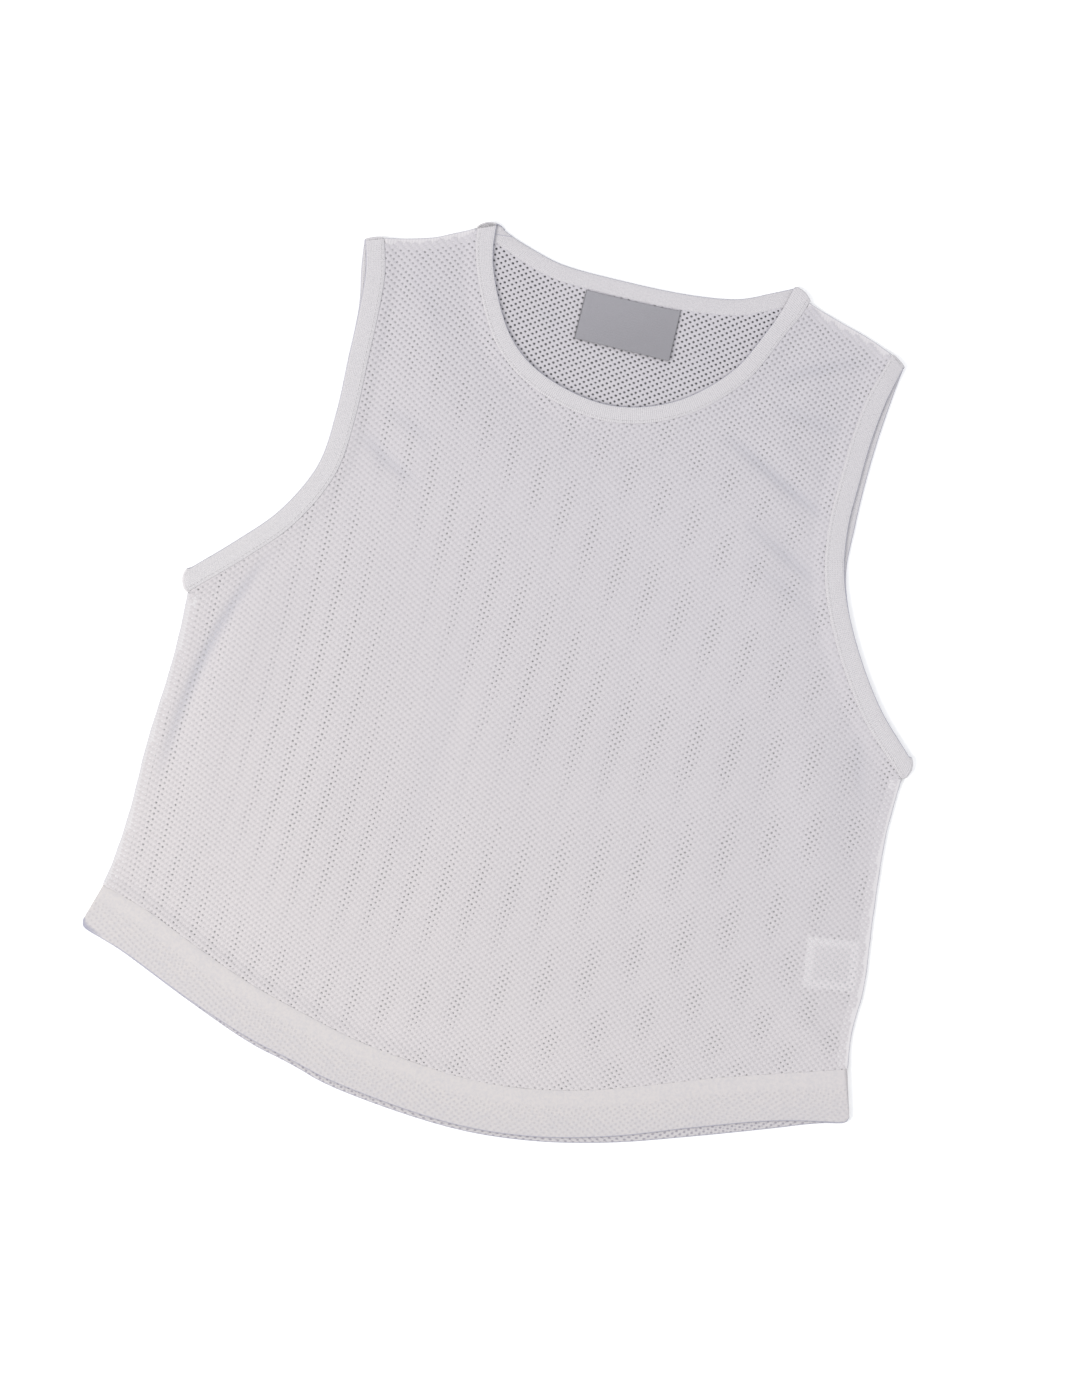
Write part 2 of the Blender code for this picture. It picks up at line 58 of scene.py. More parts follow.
# Widths across the sewn strips
NECK_TAPE_WIDTH = 10.5
ARM_TAPE_WIDTH = 12.4
HEM_DEPTH = 30.0

# The cloth of the strips on the front is thinner than their solids
FRONT_HEM_CLOTH = 0.9
FRONT_TAPE_CLOTH = 1.1

# Middle heights of the layers over the surface
BACK_HEM_MID = HEM_WALL / 2
BACK_TAPE_MID = TAPE_WALL / 2
LABEL_MID = MESH_WALL + SEAM_GAP + LABEL_WALL / 2
FRONT_HEM_MID = HEM_WALL + SEAM_GAP + FRONT_HEM_CLOTH / 2
FRONT_TAPE_MID = TAPE_WALL + SEAM_GAP + FRONT_TAPE_CLOTH / 2

# How far in from the edges the folds reach their full height, how high the air under the front
# lifts it, and how far in from its edge that lift is full
LIFT_REACH = 26.0
PUFF_HEIGHT = 1.5
PUFF_REACH = 48.0

# Heights of the two sheets where they lie flat and where they are sewn under a strip, and the
# gap between them, which widens towards the shoulders
FRONT_LAID = 1.25
BACK_LAID = 1.15
FRONT_SEWN = 2.32
BACK_SEWN = 1.3
SEWN_REACH = 9.0
SHEET_GAP = 0.1
SHOULDER_GAP = 0.34
SHOULDER_GAP_FROM = 110.0
SHOULDER_GAP_REACH = 110.0

# Over what distance past the front's edge the back goes over to its own height
DIP_REACH = 5.0

# How far the front may sink in a trough
SINK = 0.75

# Segments along each edge, and those of the finer lines that are drawn through their points
NECK_STEPS = 26
SHOULDER_STEPS = 4
SIDE_STEPS = 16
ARM_STEPS = 24
BACK_NECK_STEPS = 22
HEM_STEPS = 40
HEM_END_STEPS = 3
SPLINE_STEPS = 16
CLOSE_STEPS = 6
TURN_STEPS = 10
FINE_STEP = 2.0

# tape, bulge at the start of its front, bulge at the end, phase of its unevenness: how far its
# turns from the front to the back pass their seam at mid width
TAPE_TURNS = (
    ("neck", 2.6, 2.1, 0.7),
    ("armhole", 0.5, 3.4, 1.9),
)
TURN_CORNER_LOSS = 0.75

# How unevenly the folded strips are filled, and over what lengths
TAPE_SWELL = 0.1
TAPE_SWELL_LENGTHS = (23.0, 37.0, 61.0)
HEM_SWELL = 0.14
HEM_SWELL_LENGTHS = (17.0, 29.0, 53.0)

# A strip's seam edge is drawn over to its own end points within this many of its widths
END_REACH = 2.5

# place, x, y: free edge of the front neck tape, from the left neck point to the right one
FRONT_NECK = (
    ("left neck point", -97.9, 273.8),
    ("left side", -96.6, 259.8),
    ("left curve", -92.0, 243.4),
    ("left turn", -72.6, 208.4),
    ("left of middle", -48.6, 190.8),
    ("lowest", -3.6, 181.6),
    ("right of middle", 36.4, 193.6),
    ("right turn", 67.4, 221.4),
    ("right curve", 80.8, 247.4),
    ("right side", 87.8, 264.2),
    ("right neck point", 91.8, 279.5),
)

# place, x, y: free edge of the back neck tape
BACK_NECK = (
    ("left neck point", -92.4, 272.4),
    ("left slope", -86.8, 269.9),
    ("left curve", -74.0, 265.6),
    ("left flat", -54.0, 260.4),
    ("middle", -16.0, 259.0),
    ("right flat", 31.0, 260.5),
    ("right curve", 60.8, 265.2),
    ("right slope", 76.6, 272.2),
    ("right neck point", 91.8, 279.5),
)

# side, neck tape seam x, y, arm tape seam x, y: where the tapes end on the shoulder line
SHOULDER_ENDS = (
    ("left", -109.2, 269.2, -164.4, 249.4),
    ("right", 103.2, 272.6, 161.2, 253.2),
)

# place, left x, left y, right x, right y: shoulder line between the tapes
SHOULDER = (
    ("by the arm", -153.7, 251.8, 149.0, 258.4),
    ("middle", -138.0, 255.8, 136.0, 262.4),
    ("by the neck", -121.0, 263.4, 117.0, 268.0),
)

# place, left x, left y, left show, right x, right y, right show: free edge of each front
# armhole tape, and how far the back tape shows beyond it
ARMHOLE = (
    ("shoulder", -175.6, 245.4, 0.6, 170.2, 246.8, 0.2),
    ("below shoulder", -171.2, 229.0, 3.0, 165.2, 226.0, 2.6),
    ("upper", -169.4, 206.0, 0.6, 161.6, 198.0, 3.6),
    ("above the middle", -168.6, 170.0, 0.2, 160.4, 168.0, 3.6),
    ("middle", -168.0, 138.0, 0.0, 160.2, 142.0, 4.0),
    ("lower", -171.2, 103.0, 0.0, 165.0, 112.0, 1.0),
    ("turn", -187.6, 69.6, 0.0, 179.2, 78.2, 0.0),
    ("by the underarm", -210.0, 44.4, 0.0, 205.6, 37.8, 0.0),
    ("underarm", -234.0, 20.8, 0.0, 230.6, 12.0, 0.0),
)

# side, x, y: where each armhole tape seam meets the side seam
UNDERARM_ENDS = (
    ("left", -231.4, 6.4),
    ("right", 229.0, -2.4),
)

# place, left x, left y, right x, right y: side seams, from the hem up
SIDE = (
    ("above the hem", -237.3, -168.0, 236.2, -164.0),
    ("lower", -234.6, -136.0, 237.0, -136.0),
    ("middle", -234.1, -92.0, 232.2, -92.0),
    ("upper", -230.8, -40.0, 228.0, -40.0),
    ("below the underarm", -230.7, -12.0, 228.6, -14.0),
)

# place, x, front y, back y: lower edge of the hems, with rounded ends
HEM_EDGE = (
    ("left end", -247.4, -208.6, -208.6),
    ("left corner", -246.2, -212.6, -212.6),
    ("left foot", -240.6, -215.6, -215.6),
    ("beside the left foot", -229.6, -218.2, -218.4),
    ("far left", -213.6, -224.0, -224.6),
    ("left", -170.5, -242.0, -242.9),
    ("left middle", -128.0, -256.8, -259.1),
    ("left of the lowest", -100.5, -263.4, -265.9),
    ("middle left", -73.5, -270.1, -273.4),
    ("lowest", 6.0, -278.5, -281.2),
    ("middle right", 56.6, -274.7, -277.5),
    ("right middle", 105.5, -262.9, -266.9),
    ("right", 152.8, -246.0, -251.7),
    ("far right", 200.5, -230.0, -235.0),
    ("right foot", 229.0, -223.4, -224.6),
    ("beside the right corner", 240.6, -221.2, -221.6),
    ("right corner", 246.0, -219.6, -219.8),
    ("right end", 247.4, -216.4, -216.4),
)

# side, x, y: upper corners of the hems at the side seams
HEM_CORNERS = (
    ("left", -240.1, -184.6),
    ("right", 239.0, -187.0),
)

# name, start x, start y, end x, end y, bow, half width, height: the front's largest folds, which
# are shallower in the cloth than in its solid where the finer creases below add to them
FOLDS = (
    ("trough under the left armhole", -191.0, 45.0, -225.0, -103.0, -8.5, 8.0, -0.8),
    ("roll beside that trough", -172.0, 47.0, -205.0, -117.0, -8.0, 15.0, 1.1),
    ("short pull by the left armhole", -150.0, 131.0, -92.0, 91.0, -3.0, 8.0, -0.4),
    ("long pull by the right armhole", 62.0, 189.0, 148.0, 129.0, 4.0, 9.0, -0.5),
    ("second pull by the right armhole", 82.0, 155.0, 172.0, 83.0, 5.0, 9.0, -0.5),
    ("crease on the right shoulder", 108.0, 239.0, 150.0, 209.0, 3.0, 8.0, -0.2),
    ("hollow under the right armhole", 196.0, 21.0, 222.0, -47.0, -5.0, 10.0, -0.5),
    ("roll beside that hollow", 168.0, 25.0, 204.0, -87.0, -8.0, 15.0, 1.0),
    ("left body wave", -118.0, 63.0, -136.0, -187.0, 6.0, 24.0, 0.9),
    ("middle body wave", -12.0, 123.0, -22.0, -197.0, -8.0, 30.0, 0.8),
    ("right body wave", 104.0, 73.0, 118.0, -187.0, 7.0, 26.0, 0.9),
    ("wave by the right hem", 190.0, -165.0, 232.0, -179.0, 2.0, 9.0, 0.8),
)

# The same columns: finer creases that only the cloth has, first the front's, then the back's
FRONT_CREASES = (
    ("edge of the trough", -184.0, 54.0, -223.0, -112.0, -8.5, 3.6, -1.0),
    ("pull from the left armhole", -152.0, 130.0, -104.0, 104.0, -2.0, 4.5, -0.5),
    ("dent over that pull", -140.0, 148.0, -104.0, 132.0, 1.0, 5.0, -0.3),
    ("pull from the right armhole", 70.0, 182.0, 156.0, 138.0, 0.0, 4.0, -0.7),
    ("ridge over that pull", 90.0, 190.0, 150.0, 156.0, 2.0, 5.0, 0.4),
    ("lower pull", 96.0, 132.0, 160.0, 98.0, 0.0, 4.0, -0.5),
    ("ridge over the lower pull", 94.0, 158.0, 152.0, 122.0, 3.0, 6.0, 0.4),
    ("lowest pull", 100.0, 108.0, 160.0, 78.0, 3.0, 5.0, -0.25),
    ("shoulder crease", 90.0, 218.0, 150.0, 246.0, 2.0, 4.5, -0.45),
    ("shoulder pull", 94.0, 206.0, 150.0, 200.0, -2.0, 5.0, -0.35),
    ("left shoulder crease", -146.0, 236.0, -112.0, 196.0, 3.0, 6.0, -0.2),
    ("hollow by the right underarm", 196.0, 24.0, 214.0, -30.0, -2.0, 5.0, -0.35),
    ("dip over the hem", -232.0, -182.0, -70.0, -240.0, -7.0, 6.0, -0.5),
    ("dip over the right hem", 96.0, -231.0, 214.0, -190.0, -3.0, 6.0, -0.3),
    ("long soft line", -60.0, 40.0, -66.0, -150.0, 4.0, 9.0, -0.15),
    ("long soft line right", 48.0, 60.0, 56.0, -120.0, -5.0, 9.0, -0.06),
)
BACK_CREASES = (
    ("left side dent", -186.0, 36.0, -216.0, -84.0, -8.0, 5.0, -0.2),
    ("left pull", -148.0, 120.0, -98.0, 96.0, -3.0, 5.0, -0.2),
    ("right pull", 84.0, 172.0, 144.0, 132.0, 3.0, 5.0, -0.2),
    ("right side dent", 190.0, 10.0, 216.0, -60.0, -4.0, 6.0, -0.2),
    ("dent in the throat", -62.0, 236.0, -40.0, 214.0, 2.0, 8.0, -0.15),
    ("second dent in the throat", 38.0, 216.0, 62.0, 244.0, 2.0, 8.0, -0.15),
)
FOLD_END_POWER = 0.8
TROUGH_DEPTH = 1.0
CREASE_REACH = 12.0

# Net of the mesh: rows across, columns up, the size of a hole and how unevenly it is knitted
HOLE_ROW = 4.77
HOLE_COLUMN = 3.71
HOLE_HALF_WIDTH = 0.78
HOLE_HALF_HEIGHT = 0.68
FRONT_HOLE_SHARE = 0.95
HOLE_UNEVEN = 0.07
HOLE_SHIFT = 0.06
HOLE_CORNERS = 6
NET_REACH = 132
NET_ROUNDS = 8
FRONT_ROW_TURN = math.radians(6.6)
FRONT_COLUMN_LEAN = math.radians(-0.6)
BACK_ROW_TURN = math.radians(-3.6)
BACK_COLUMN_LEAN = math.radians(-1.5)

# growth, power of x, power of y, across, up: how far the front's net lies off the back's, which
# sets where their holes meet in streaks and spots. x and y count in hundreds of millimetres. The
# last two columns come from a fit to spots read off the photograph, rounded
NET_OFFSETS = (
    ("everywhere", 0, 0, 7.2, -7.5),
    ("to the right", 1, 0, 0.5, 17.8),
    ("up", 0, 1, 1.6, -1.5),
    ("squared to the right", 2, 0, -0.4, -1.8),
    ("to the upper right", 1, 1, 1.4, -0.2),
    ("squared up", 0, 2, 0.4, 0.0),
    ("cubed to the right", 3, 0, 0.0, 0.4),
    ("squared right and up", 2, 1, 0.3, 0.2),
    ("right and squared up", 1, 2, 0.0, -0.5),
    ("cubed up", 0, 3, 0.4, 0.0),
)

# strand of yarn between two holes, step to the next hole, own corners, its corners
STRANDS = (
    ("up and right", (1, 0), (0, 1), (4, 3)),
    ("up", (1, -1), (1, 2), (5, 4)),
    ("down and right", (0, 1), (5, 0), (3, 2)),
)

# place where three strands meet, own corner, then step and corner of each of the two other holes
KNOTS = (
    ("above", 1, (1, 0), 3, (1, -1), 5),
    ("beside", 0, (0, 1), 2, (1, 0), 4),
)

# How far both nets drift from even rows, and over what length
DRIFT = 0.6
DRIFT_LENGTH = 230.0

# sheet, share of the full hole, how dark the painted shade at the rim of a hole is, how much
# painted shade dims the cloth, random seed
SHEETS = (
    ("front", FRONT_HOLE_SHARE, 0.1, 0.0, 11),
    ("back", 1.0, 0.3, 0.12, 12),
)

# hem, middle height, thickness, phase of its unevenness, how dark the painted shade in its filled
# holes is, and how dark the painted shade towards its foot is
HEMS = (
    ("front", FRONT_HEM_MID, FRONT_HEM_CLOTH, 0.9, 0.18, 0.1),
    ("back", BACK_HEM_MID, HEM_WALL, 2.3, 1.0, 0.2),
)

# The net runs on under the tapes and hems, and stops short of the edges of the bare seams
TUCK = 3.6
SEAM_CLEAR = 0.9

# Flat box that the baked looks of the sheets are laid out in
BAKE_BOX = ((-250.0, -285.0), (250.0, 285.0))

# strip point name, across (0 free edge, 1 seam edge), through (share of the half wall)
TAPE_HALF = (
    ("fold", 0.0, 0.0),
    ("over the fold", 0.012, 0.42),
    ("shoulder of the fold", 0.045, 0.78),
    ("crown begins", 0.12, 0.96),
    ("crown", 0.3, 1.0),
    ("middle", 0.52, 0.98),
    ("before the stitches", 0.74, 0.94),
    ("stitches", 0.83, 0.9),
    ("past the stitches", 0.9, 0.84),
    ("lip", 0.96, 0.62),
    ("lip edge", 0.992, 0.3),
    ("seam edge", 1.0, 0.0),
)
HEM_HALF = (
    ("fold", 0.0, 0.0),
    ("over the fold", 0.006, 0.42),
    ("shoulder of the fold", 0.02, 0.78),
    ("flat begins", 0.06, 0.96),
    ("flat", 0.25, 1.0),
    ("middle", 0.5, 0.97),
    ("upper flat", 0.7, 0.98),
    ("overlock begins", 0.78, 0.97),
    ("overlock", 0.84, 0.96),
    ("overlock ends", 0.9, 0.92),
    ("over the lip", 0.95, 0.7),
    ("lip", 0.98, 0.35),
    ("seam edge", 1.0, 0.0),
)

# seam point name, inward from the seam, height off the middle between the two sheets
SEAM_HALF = (
    ("inner edge", 6.6, 0.0),
    ("inner lip", 6.4, 0.035),
    ("overlock", 3.6, 0.04),
    ("beside the roll", 1.4, 0.04),
    ("side of the roll", 0.5, 0.16),
    ("roll", 0.0, 0.26),
    ("shoulder of the roll", -0.35, 0.18),
    ("outer edge", -0.5, 0.0),
)

# How far the lines of a seam wander across it, and over what length
SEAM_WANDER = 0.15
SEAM_WANDER_LENGTH = 3.1

# Stitches: pitch, how unevenly they are spaced, the size and arch of each one, how many points
# it has, and the random seed
STITCH_PITCH = 2.7
STITCH_UNEVEN = 0.12
STITCH_LENGTH = 1.9
STITCH_HALF_WIDTH = 0.12
STITCH_HEIGHT = 0.02
STITCH_END_SHARE = 0.3
STITCH_RIBS = (0.2, 0.5, 0.8)
STITCH_ARCH = 0.4
STITCH_POINTS = 13
STITCH_SEED = 5

# Neck label
NECK_LABEL_LEFT = -34.0
NECK_LABEL_RIGHT = 26.6
NECK_LABEL_FOOT = 217.0
NECK_LABEL_CURL = 0.7
NECK_LABEL_CURL_SHARE = 0.6
NECK_LABEL_SPREAD = 1.01
NECK_LABEL_SLACK = 0.1
NECK_LABEL_BEND = 0.12
NECK_LABEL_BEND_LENGTH = 9.0
NECK_LABEL_BEND_PHASE = 0.6
NECK_LABEL_COLUMNS = 40
NECK_LABEL_ROWS = 22
LABEL_CLOTH = 0.45
LABEL_SHARP = math.radians(50.0)

# Care label
CARE_LABEL_MIDDLE = (214.0, -125.8)
CARE_LABEL_SIZE = (33.0, 32.0)
CARE_LABEL_TURN = math.radians(8.0)
CARE_LABEL_CLOTH = 0.12
CARE_LABEL_SLOPE = 4.0
CARE_LABEL_LIFT = 0.12
CARE_LABEL_UNDER = 0.13
CARE_LABEL_ROWS = 24

# Painted glow on the front over the care label: softness of its edge, its rim and the rim's
# softness, and the share that is lost inside the rim
GLOW_EDGE_SOFT = 1.6
GLOW_RIM = 4.0
GLOW_RIM_SOFT = 2.5
GLOW_MIDDLE_LOSS = 0.75

# Net over which distances to the sewn edges are worked out once, and how many points are worked
# out at a time
FIELD_STEP = 4.0
FIELD_LOW = (-264.0, -300.0)
FIELD_COUNT = (133, 151)
CHUNK = 3000

# How far the grey sheet of painted shade lies below the garment, over the floor
SHADE_SHEET_DROP = 0.1

# Floor: half its side and how far it lies below the garment, in metres, and its faint glow
FLOOR_HALF = 4.0
FLOOR_DROP = 0.0002
FLOOR_GLOW = 0.11

# Soft daylight all round
SKY_COLOUR = (0.97, 0.98, 1.0)
SKY_STRENGTH = 0.78

# light, right and up in the photograph, height, side, power, colour; in metres and watts
LIGHTS = (
    ("key", -2.2, -0.6, 1.7, 1.3, 48.0, (1.0, 0.98, 0.95)),
    ("fill", 1.4, 1.0, 1.9, 1.6, 12.0, (0.94, 0.96, 1.0)),
)

# Camera: straight above, turned so that the garment lies as in the photograph, and the height of
# the photograph's frame on the surface
CAMERA_TURN = math.radians(13.6)
CAMERA_OVER = (-3.53, -1.28)
CAMERA_LENS = 85.0
CAMERA_SENSOR = 36.0
CAMERA_NEAR = 0.05
CAMERA_FAR = 20.0
FRAME_HEIGHT = 862.6


# --- Lines of the garment ---


def ease(t):
    """0 below 0, 1 above 1, and a soft slope between."""
    t = np.clip(t, 0.0, 1.0)
    return t * t * (3.0 - 2.0 * t)


def lengths_along(points):
    """Distance from the first point to each point of a line."""
    steps = np.linalg.norm(np.diff(points, axis=0), axis=1)
    return np.concatenate(([0.0], np.cumsum(steps)))


def spread(points, steps):
    """The line again, with its points at even distances."""
    along = lengths_along(points)
    wanted = np.linspace(0.0, along[-1], steps + 1)
    columns = [np.interp(wanted, along, points[:, c]) for c in range(points.shape[1])]
    return np.stack(columns, axis=1)


def smooth_line(points, steps):
    """A smooth curve through the points, with centripetal spacing so that it doesn't bulge."""
    points = np.array(points, float)
    first = 2.0 * points[0] - points[1]
    last = 2.0 * points[-1] - points[-2]
    held = np.vstack((first, points, last))
    found = []
    for a, b, c, d in zip(held, held[1:], held[2:], held[3:]):
        knots = [0.0]
        for p, q in ((a, b), (b, c), (c, d)):
            knots.append(knots[-1] + math.sqrt(np.linalg.norm(q[:2] - p[:2])))
        k0, k1, k2, k3 = knots
        t = np.linspace(k1, k2, SPLINE_STEPS, endpoint=False)[:, None]
        ab = (k1 - t) / (k1 - k0) * a + (t - k0) / (k1 - k0) * b
        bc = (k2 - t) / (k2 - k1) * b + (t - k1) / (k2 - k1) * c
        cd = (k3 - t) / (k3 - k2) * c + (t - k2) / (k3 - k2) * d
        abc = (k2 - t) / (k2 - k0) * ab + (t - k0) / (k2 - k0) * bc
        bcd = (k3 - t) / (k3 - k1) * bc + (t - k1) / (k3 - k1) * cd
        found.append((k2 - t) / (k2 - k1) * abc + (t - k1) / (k2 - k1) * bcd)
    found.append(points[-1:])
    return spread(np.vstack(found), steps)


def finer(line):
    """The same line drawn smoothly through its points in short steps."""
    return smooth_line(line, round(lengths_along(line[:, :2])[-1] / FINE_STEP))


def left_hand(line):
    """Unit vectors to the left of the way along a line."""
    way = np.gradient(line, axis=0)
    way /= np.linalg.norm(way, axis=1)[:, None]
    return np.stack((-way[:, 1], way[:, 0]), axis=1)


def beside(line, width, hand, start, end):
    """A line at that distance on one hand, drawn over to its own start and end points."""
    moved = line + hand * width * left_hand(line)
    along = lengths_along(line)
    reach = END_REACH * width
    near_start = ease(1.0 - along / reach)[:, None]
    near_end = ease(1.0 - (along[-1] - along) / reach)[:, None]
    return moved + near_start * (start - moved[0]) + near_end * (end - moved[-1])


def past(free, seam, gap):
    """Points beyond a strip's seam edge, or short of it where the gap is negative."""
    across = seam - free
    return seam + gap * across / np.linalg.norm(across, axis=1)[:, None]


def row(table, name):
    """The numbers of a table's row."""
    return next(np.array(r[1:], float) for r in table if r[0] == name)


def side_of(name):
    """Which of a two-sided table's column groups a side has, the left one first."""
    return {"left": 0, "right": 1}[name]


def armhole(name):
    """Free and seam edges of an armhole tape, front and back, from shoulder to underarm."""
    column = 1 + 3 * side_of(name)
    line = smooth_line([r[column : column + 3] for r in ARMHOLE], ARM_STEPS)
    free, show = line[:, :2], line[:, 2:]
    hand = 1.0 if name == "left" else -1.0
    ends = row(SHOULDER_ENDS, name)[2:], row(UNDERARM_ENDS, name)
    seam = beside(free, ARM_TAPE_WIDTH, hand, *ends)
    outward = (free - seam) / np.linalg.norm(free - seam, axis=1)[:, None]
    return {
        "front": (free, seam),
        "back": (free + show * outward, seam + show * outward),
    }


def neck_edge(table, steps):
    """Free and seam edges of the neck tape, from the left neck point to the right one."""
    free = smooth_line([r[1:] for r in table], steps)
    ends = row(SHOULDER_ENDS, "left")[:2], row(SHOULDER_ENDS, "right")[:2]
    return free, beside(free, NECK_TAPE_WIDTH, -1.0, *ends)


def hem_edge(column):
    """Lower and upper edges of a hem, from left to right."""
    rows = [(r[1], r[column]) for r in HEM_EDGE]
    low = np.vstack((rows[0], smooth_line(rows[1:-1], HEM_STEPS - 2), rows[-1]))
    moved = low + HEM_DEPTH * left_hand(low)
    inner = moved[HEM_END_STEPS:-HEM_END_STEPS:HEM_END_STEPS]
    ends = row(HEM_CORNERS, "left"), row(HEM_CORNERS, "right")
    return low, smooth_line([ends[0], *inner, ends[1]], HEM_STEPS)


def shoulder_line(name, arm_end, neck_end):
    """Shoulder line of a panel from the arm tape to the neck tape."""
    column = 1 + 2 * side_of(name)
    between = [r[column : column + 2] for r in SHOULDER]
    return smooth_line([arm_end, *between, neck_end], SHOULDER_STEPS)


def side_line(name, hem_end, arm_end):
    """Side edge of a panel from the hem up to the armhole tape."""
    column = 1 + 2 * side_of(name)
    between = [r[column : column + 2] for r in SIDE]
    return smooth_line([hem_end, *between, arm_end], SIDE_STEPS)


def inward(line, name, distance):
    """A side or shoulder line moved in from the garment's edge."""
    hand = -1.0 if name == "left" else 1.0
    return line + hand * distance * left_hand(line)


def panel_edges(layer, neck, hem, arms, gap=SEAM_GAP, inset=0.0):
    """The four sides of a panel: hem, right, top and left, each as a line of points."""
    foot = past(*hem, gap)
    throat = past(*neck, gap)
    uprights = {}
    shoulders = {}
    for name, corner, neck_end in (("left", 0, throat[0]), ("right", -1, throat[-1])):
        arm = past(*arms[name][layer], gap)
        side = inward(side_line(name, foot[corner], arm[-1]), name, inset)
        uprights[name] = np.vstack((side[:-1], arm[::-1]))
        shoulders[name] = inward(shoulder_line(name, arm[0], neck_end), name, inset)
    top = np.vstack((shoulders["left"][:-1], throat, shoulders["right"][::-1][1:]))
    return foot, uprights["right"], top, uprights["left"]


def outline(foot, right, top, left):
    """The closed line round a panel, anticlockwise from the left end of its hem seam."""
    return np.vstack((foot, right[1:], top[::-1][1:], left[::-1][1:-1]))


def in_chunks(rule, points):
    """A rule's results for many points, worked out a few thousand at a time."""
    return np.concatenate([rule(points[k : k + CHUNK]) for k in range(0, len(points), CHUNK)])


def inside(rim, points):
    """Which points lie inside a closed line."""
    x0, y0 = rim[:, 0], rim[:, 1]
    x1, y1 = np.roll(x0, -1), np.roll(y0, -1)

    def some(part):
        x, y = part[:, :1], part[:, 1:]
        side = (y - y0) * (x1 - x0) - (x - x0) * (y1 - y0)
        left_of = np.where(y1 > y0, side > 0.0, side < 0.0)
        crossed = ((y0 > y) != (y1 > y)) & left_of
        return crossed.sum(axis=1) % 2 == 1

    return in_chunks(some, points)


def distance_to(line, points):
    """Distance from each point to the nearest of a line's points, taken closely."""
    close = spread(line, CLOSE_STEPS * (len(line) - 1))

    def some(part):
        across = part[:, :1] - close[:, 0]
        along = part[:, 1:] - close[:, 1]
        return np.sqrt((across**2 + along**2).min(axis=1))

    return in_chunks(some, points)


# --- Heights of the layers ---


def distance_field(line):
    """A quick rule for the distance to a line, read between the points of an even net."""
    x, y = (low + FIELD_STEP * np.arange(n) for low, n in zip(FIELD_LOW, FIELD_COUNT))
    net = np.stack(np.meshgrid(x, y, indexing="ij"), axis=2)
    known = distance_to(line, net.reshape(-1, 2)).reshape(FIELD_COUNT)

    def at(points):
        place = (points - np.array(FIELD_LOW)) / FIELD_STEP
        cell = np.clip(place.astype(int), 0, np.array(FIELD_COUNT) - 2)
        i, j = cell.T
        s, t = (place - cell).T
        near = known[i, j] * (1.0 - s) + known[i + 1, j] * s
        far = known[i, j + 1] * (1.0 - s) + known[i + 1, j + 1] * s
        return near * (1.0 - t) + far * t

    return at


def fold_height(table, points):
    """Sum of a table's folds at each point."""
    total = np.zeros(len(points))
    for _, x0, y0, x1, y1, bow, half_width, height in table:
        start, run = np.array((x0, y0)), np.array((x1 - x0, y1 - y0))
        length = np.linalg.norm(run)
        way = run / length
        t = (points - start) @ way / length
        off = (points - start) @ np.array((-way[1], way[0]))
        held = np.clip(t, 0.0, 1.0)
        off = off - bow * np.sin(math.pi * held)
        fade = np.sin(math.pi * held) ** FOLD_END_POWER
        total += height * fade * np.exp(-((off / half_width) ** 2))
    return total


def beyond_the_label(points):
    """Distance out from the care label's edge, negative inside it."""
    turned = points - np.array(CARE_LABEL_MIDDLE)
    c, s = math.cos(CARE_LABEL_TURN), math.sin(CARE_LABEL_TURN)
    across = np.abs(turned @ np.array((c, s))) - CARE_LABEL_SIZE[0] / 2
    along = np.abs(turned @ np.array((-s, c))) - CARE_LABEL_SIZE[1] / 2
    return np.maximum(across, along)


def care_label_lift(points):
    """How far the care label holds the front off the back."""
    return CARE_LABEL_LIFT * ease(1.0 - beyond_the_label(points) / CARE_LABEL_SLOPE)


def over_the_label(points):
    """How much painted glow the label gives the thin cloth over it, most along its folded rim."""
    away = beyond_the_label(points)
    middle = ease((-away - GLOW_RIM) / GLOW_RIM_SOFT)
    return ease(0.5 - away / GLOW_EDGE_SOFT) * (1.0 - GLOW_MIDDLE_LOSS * middle)


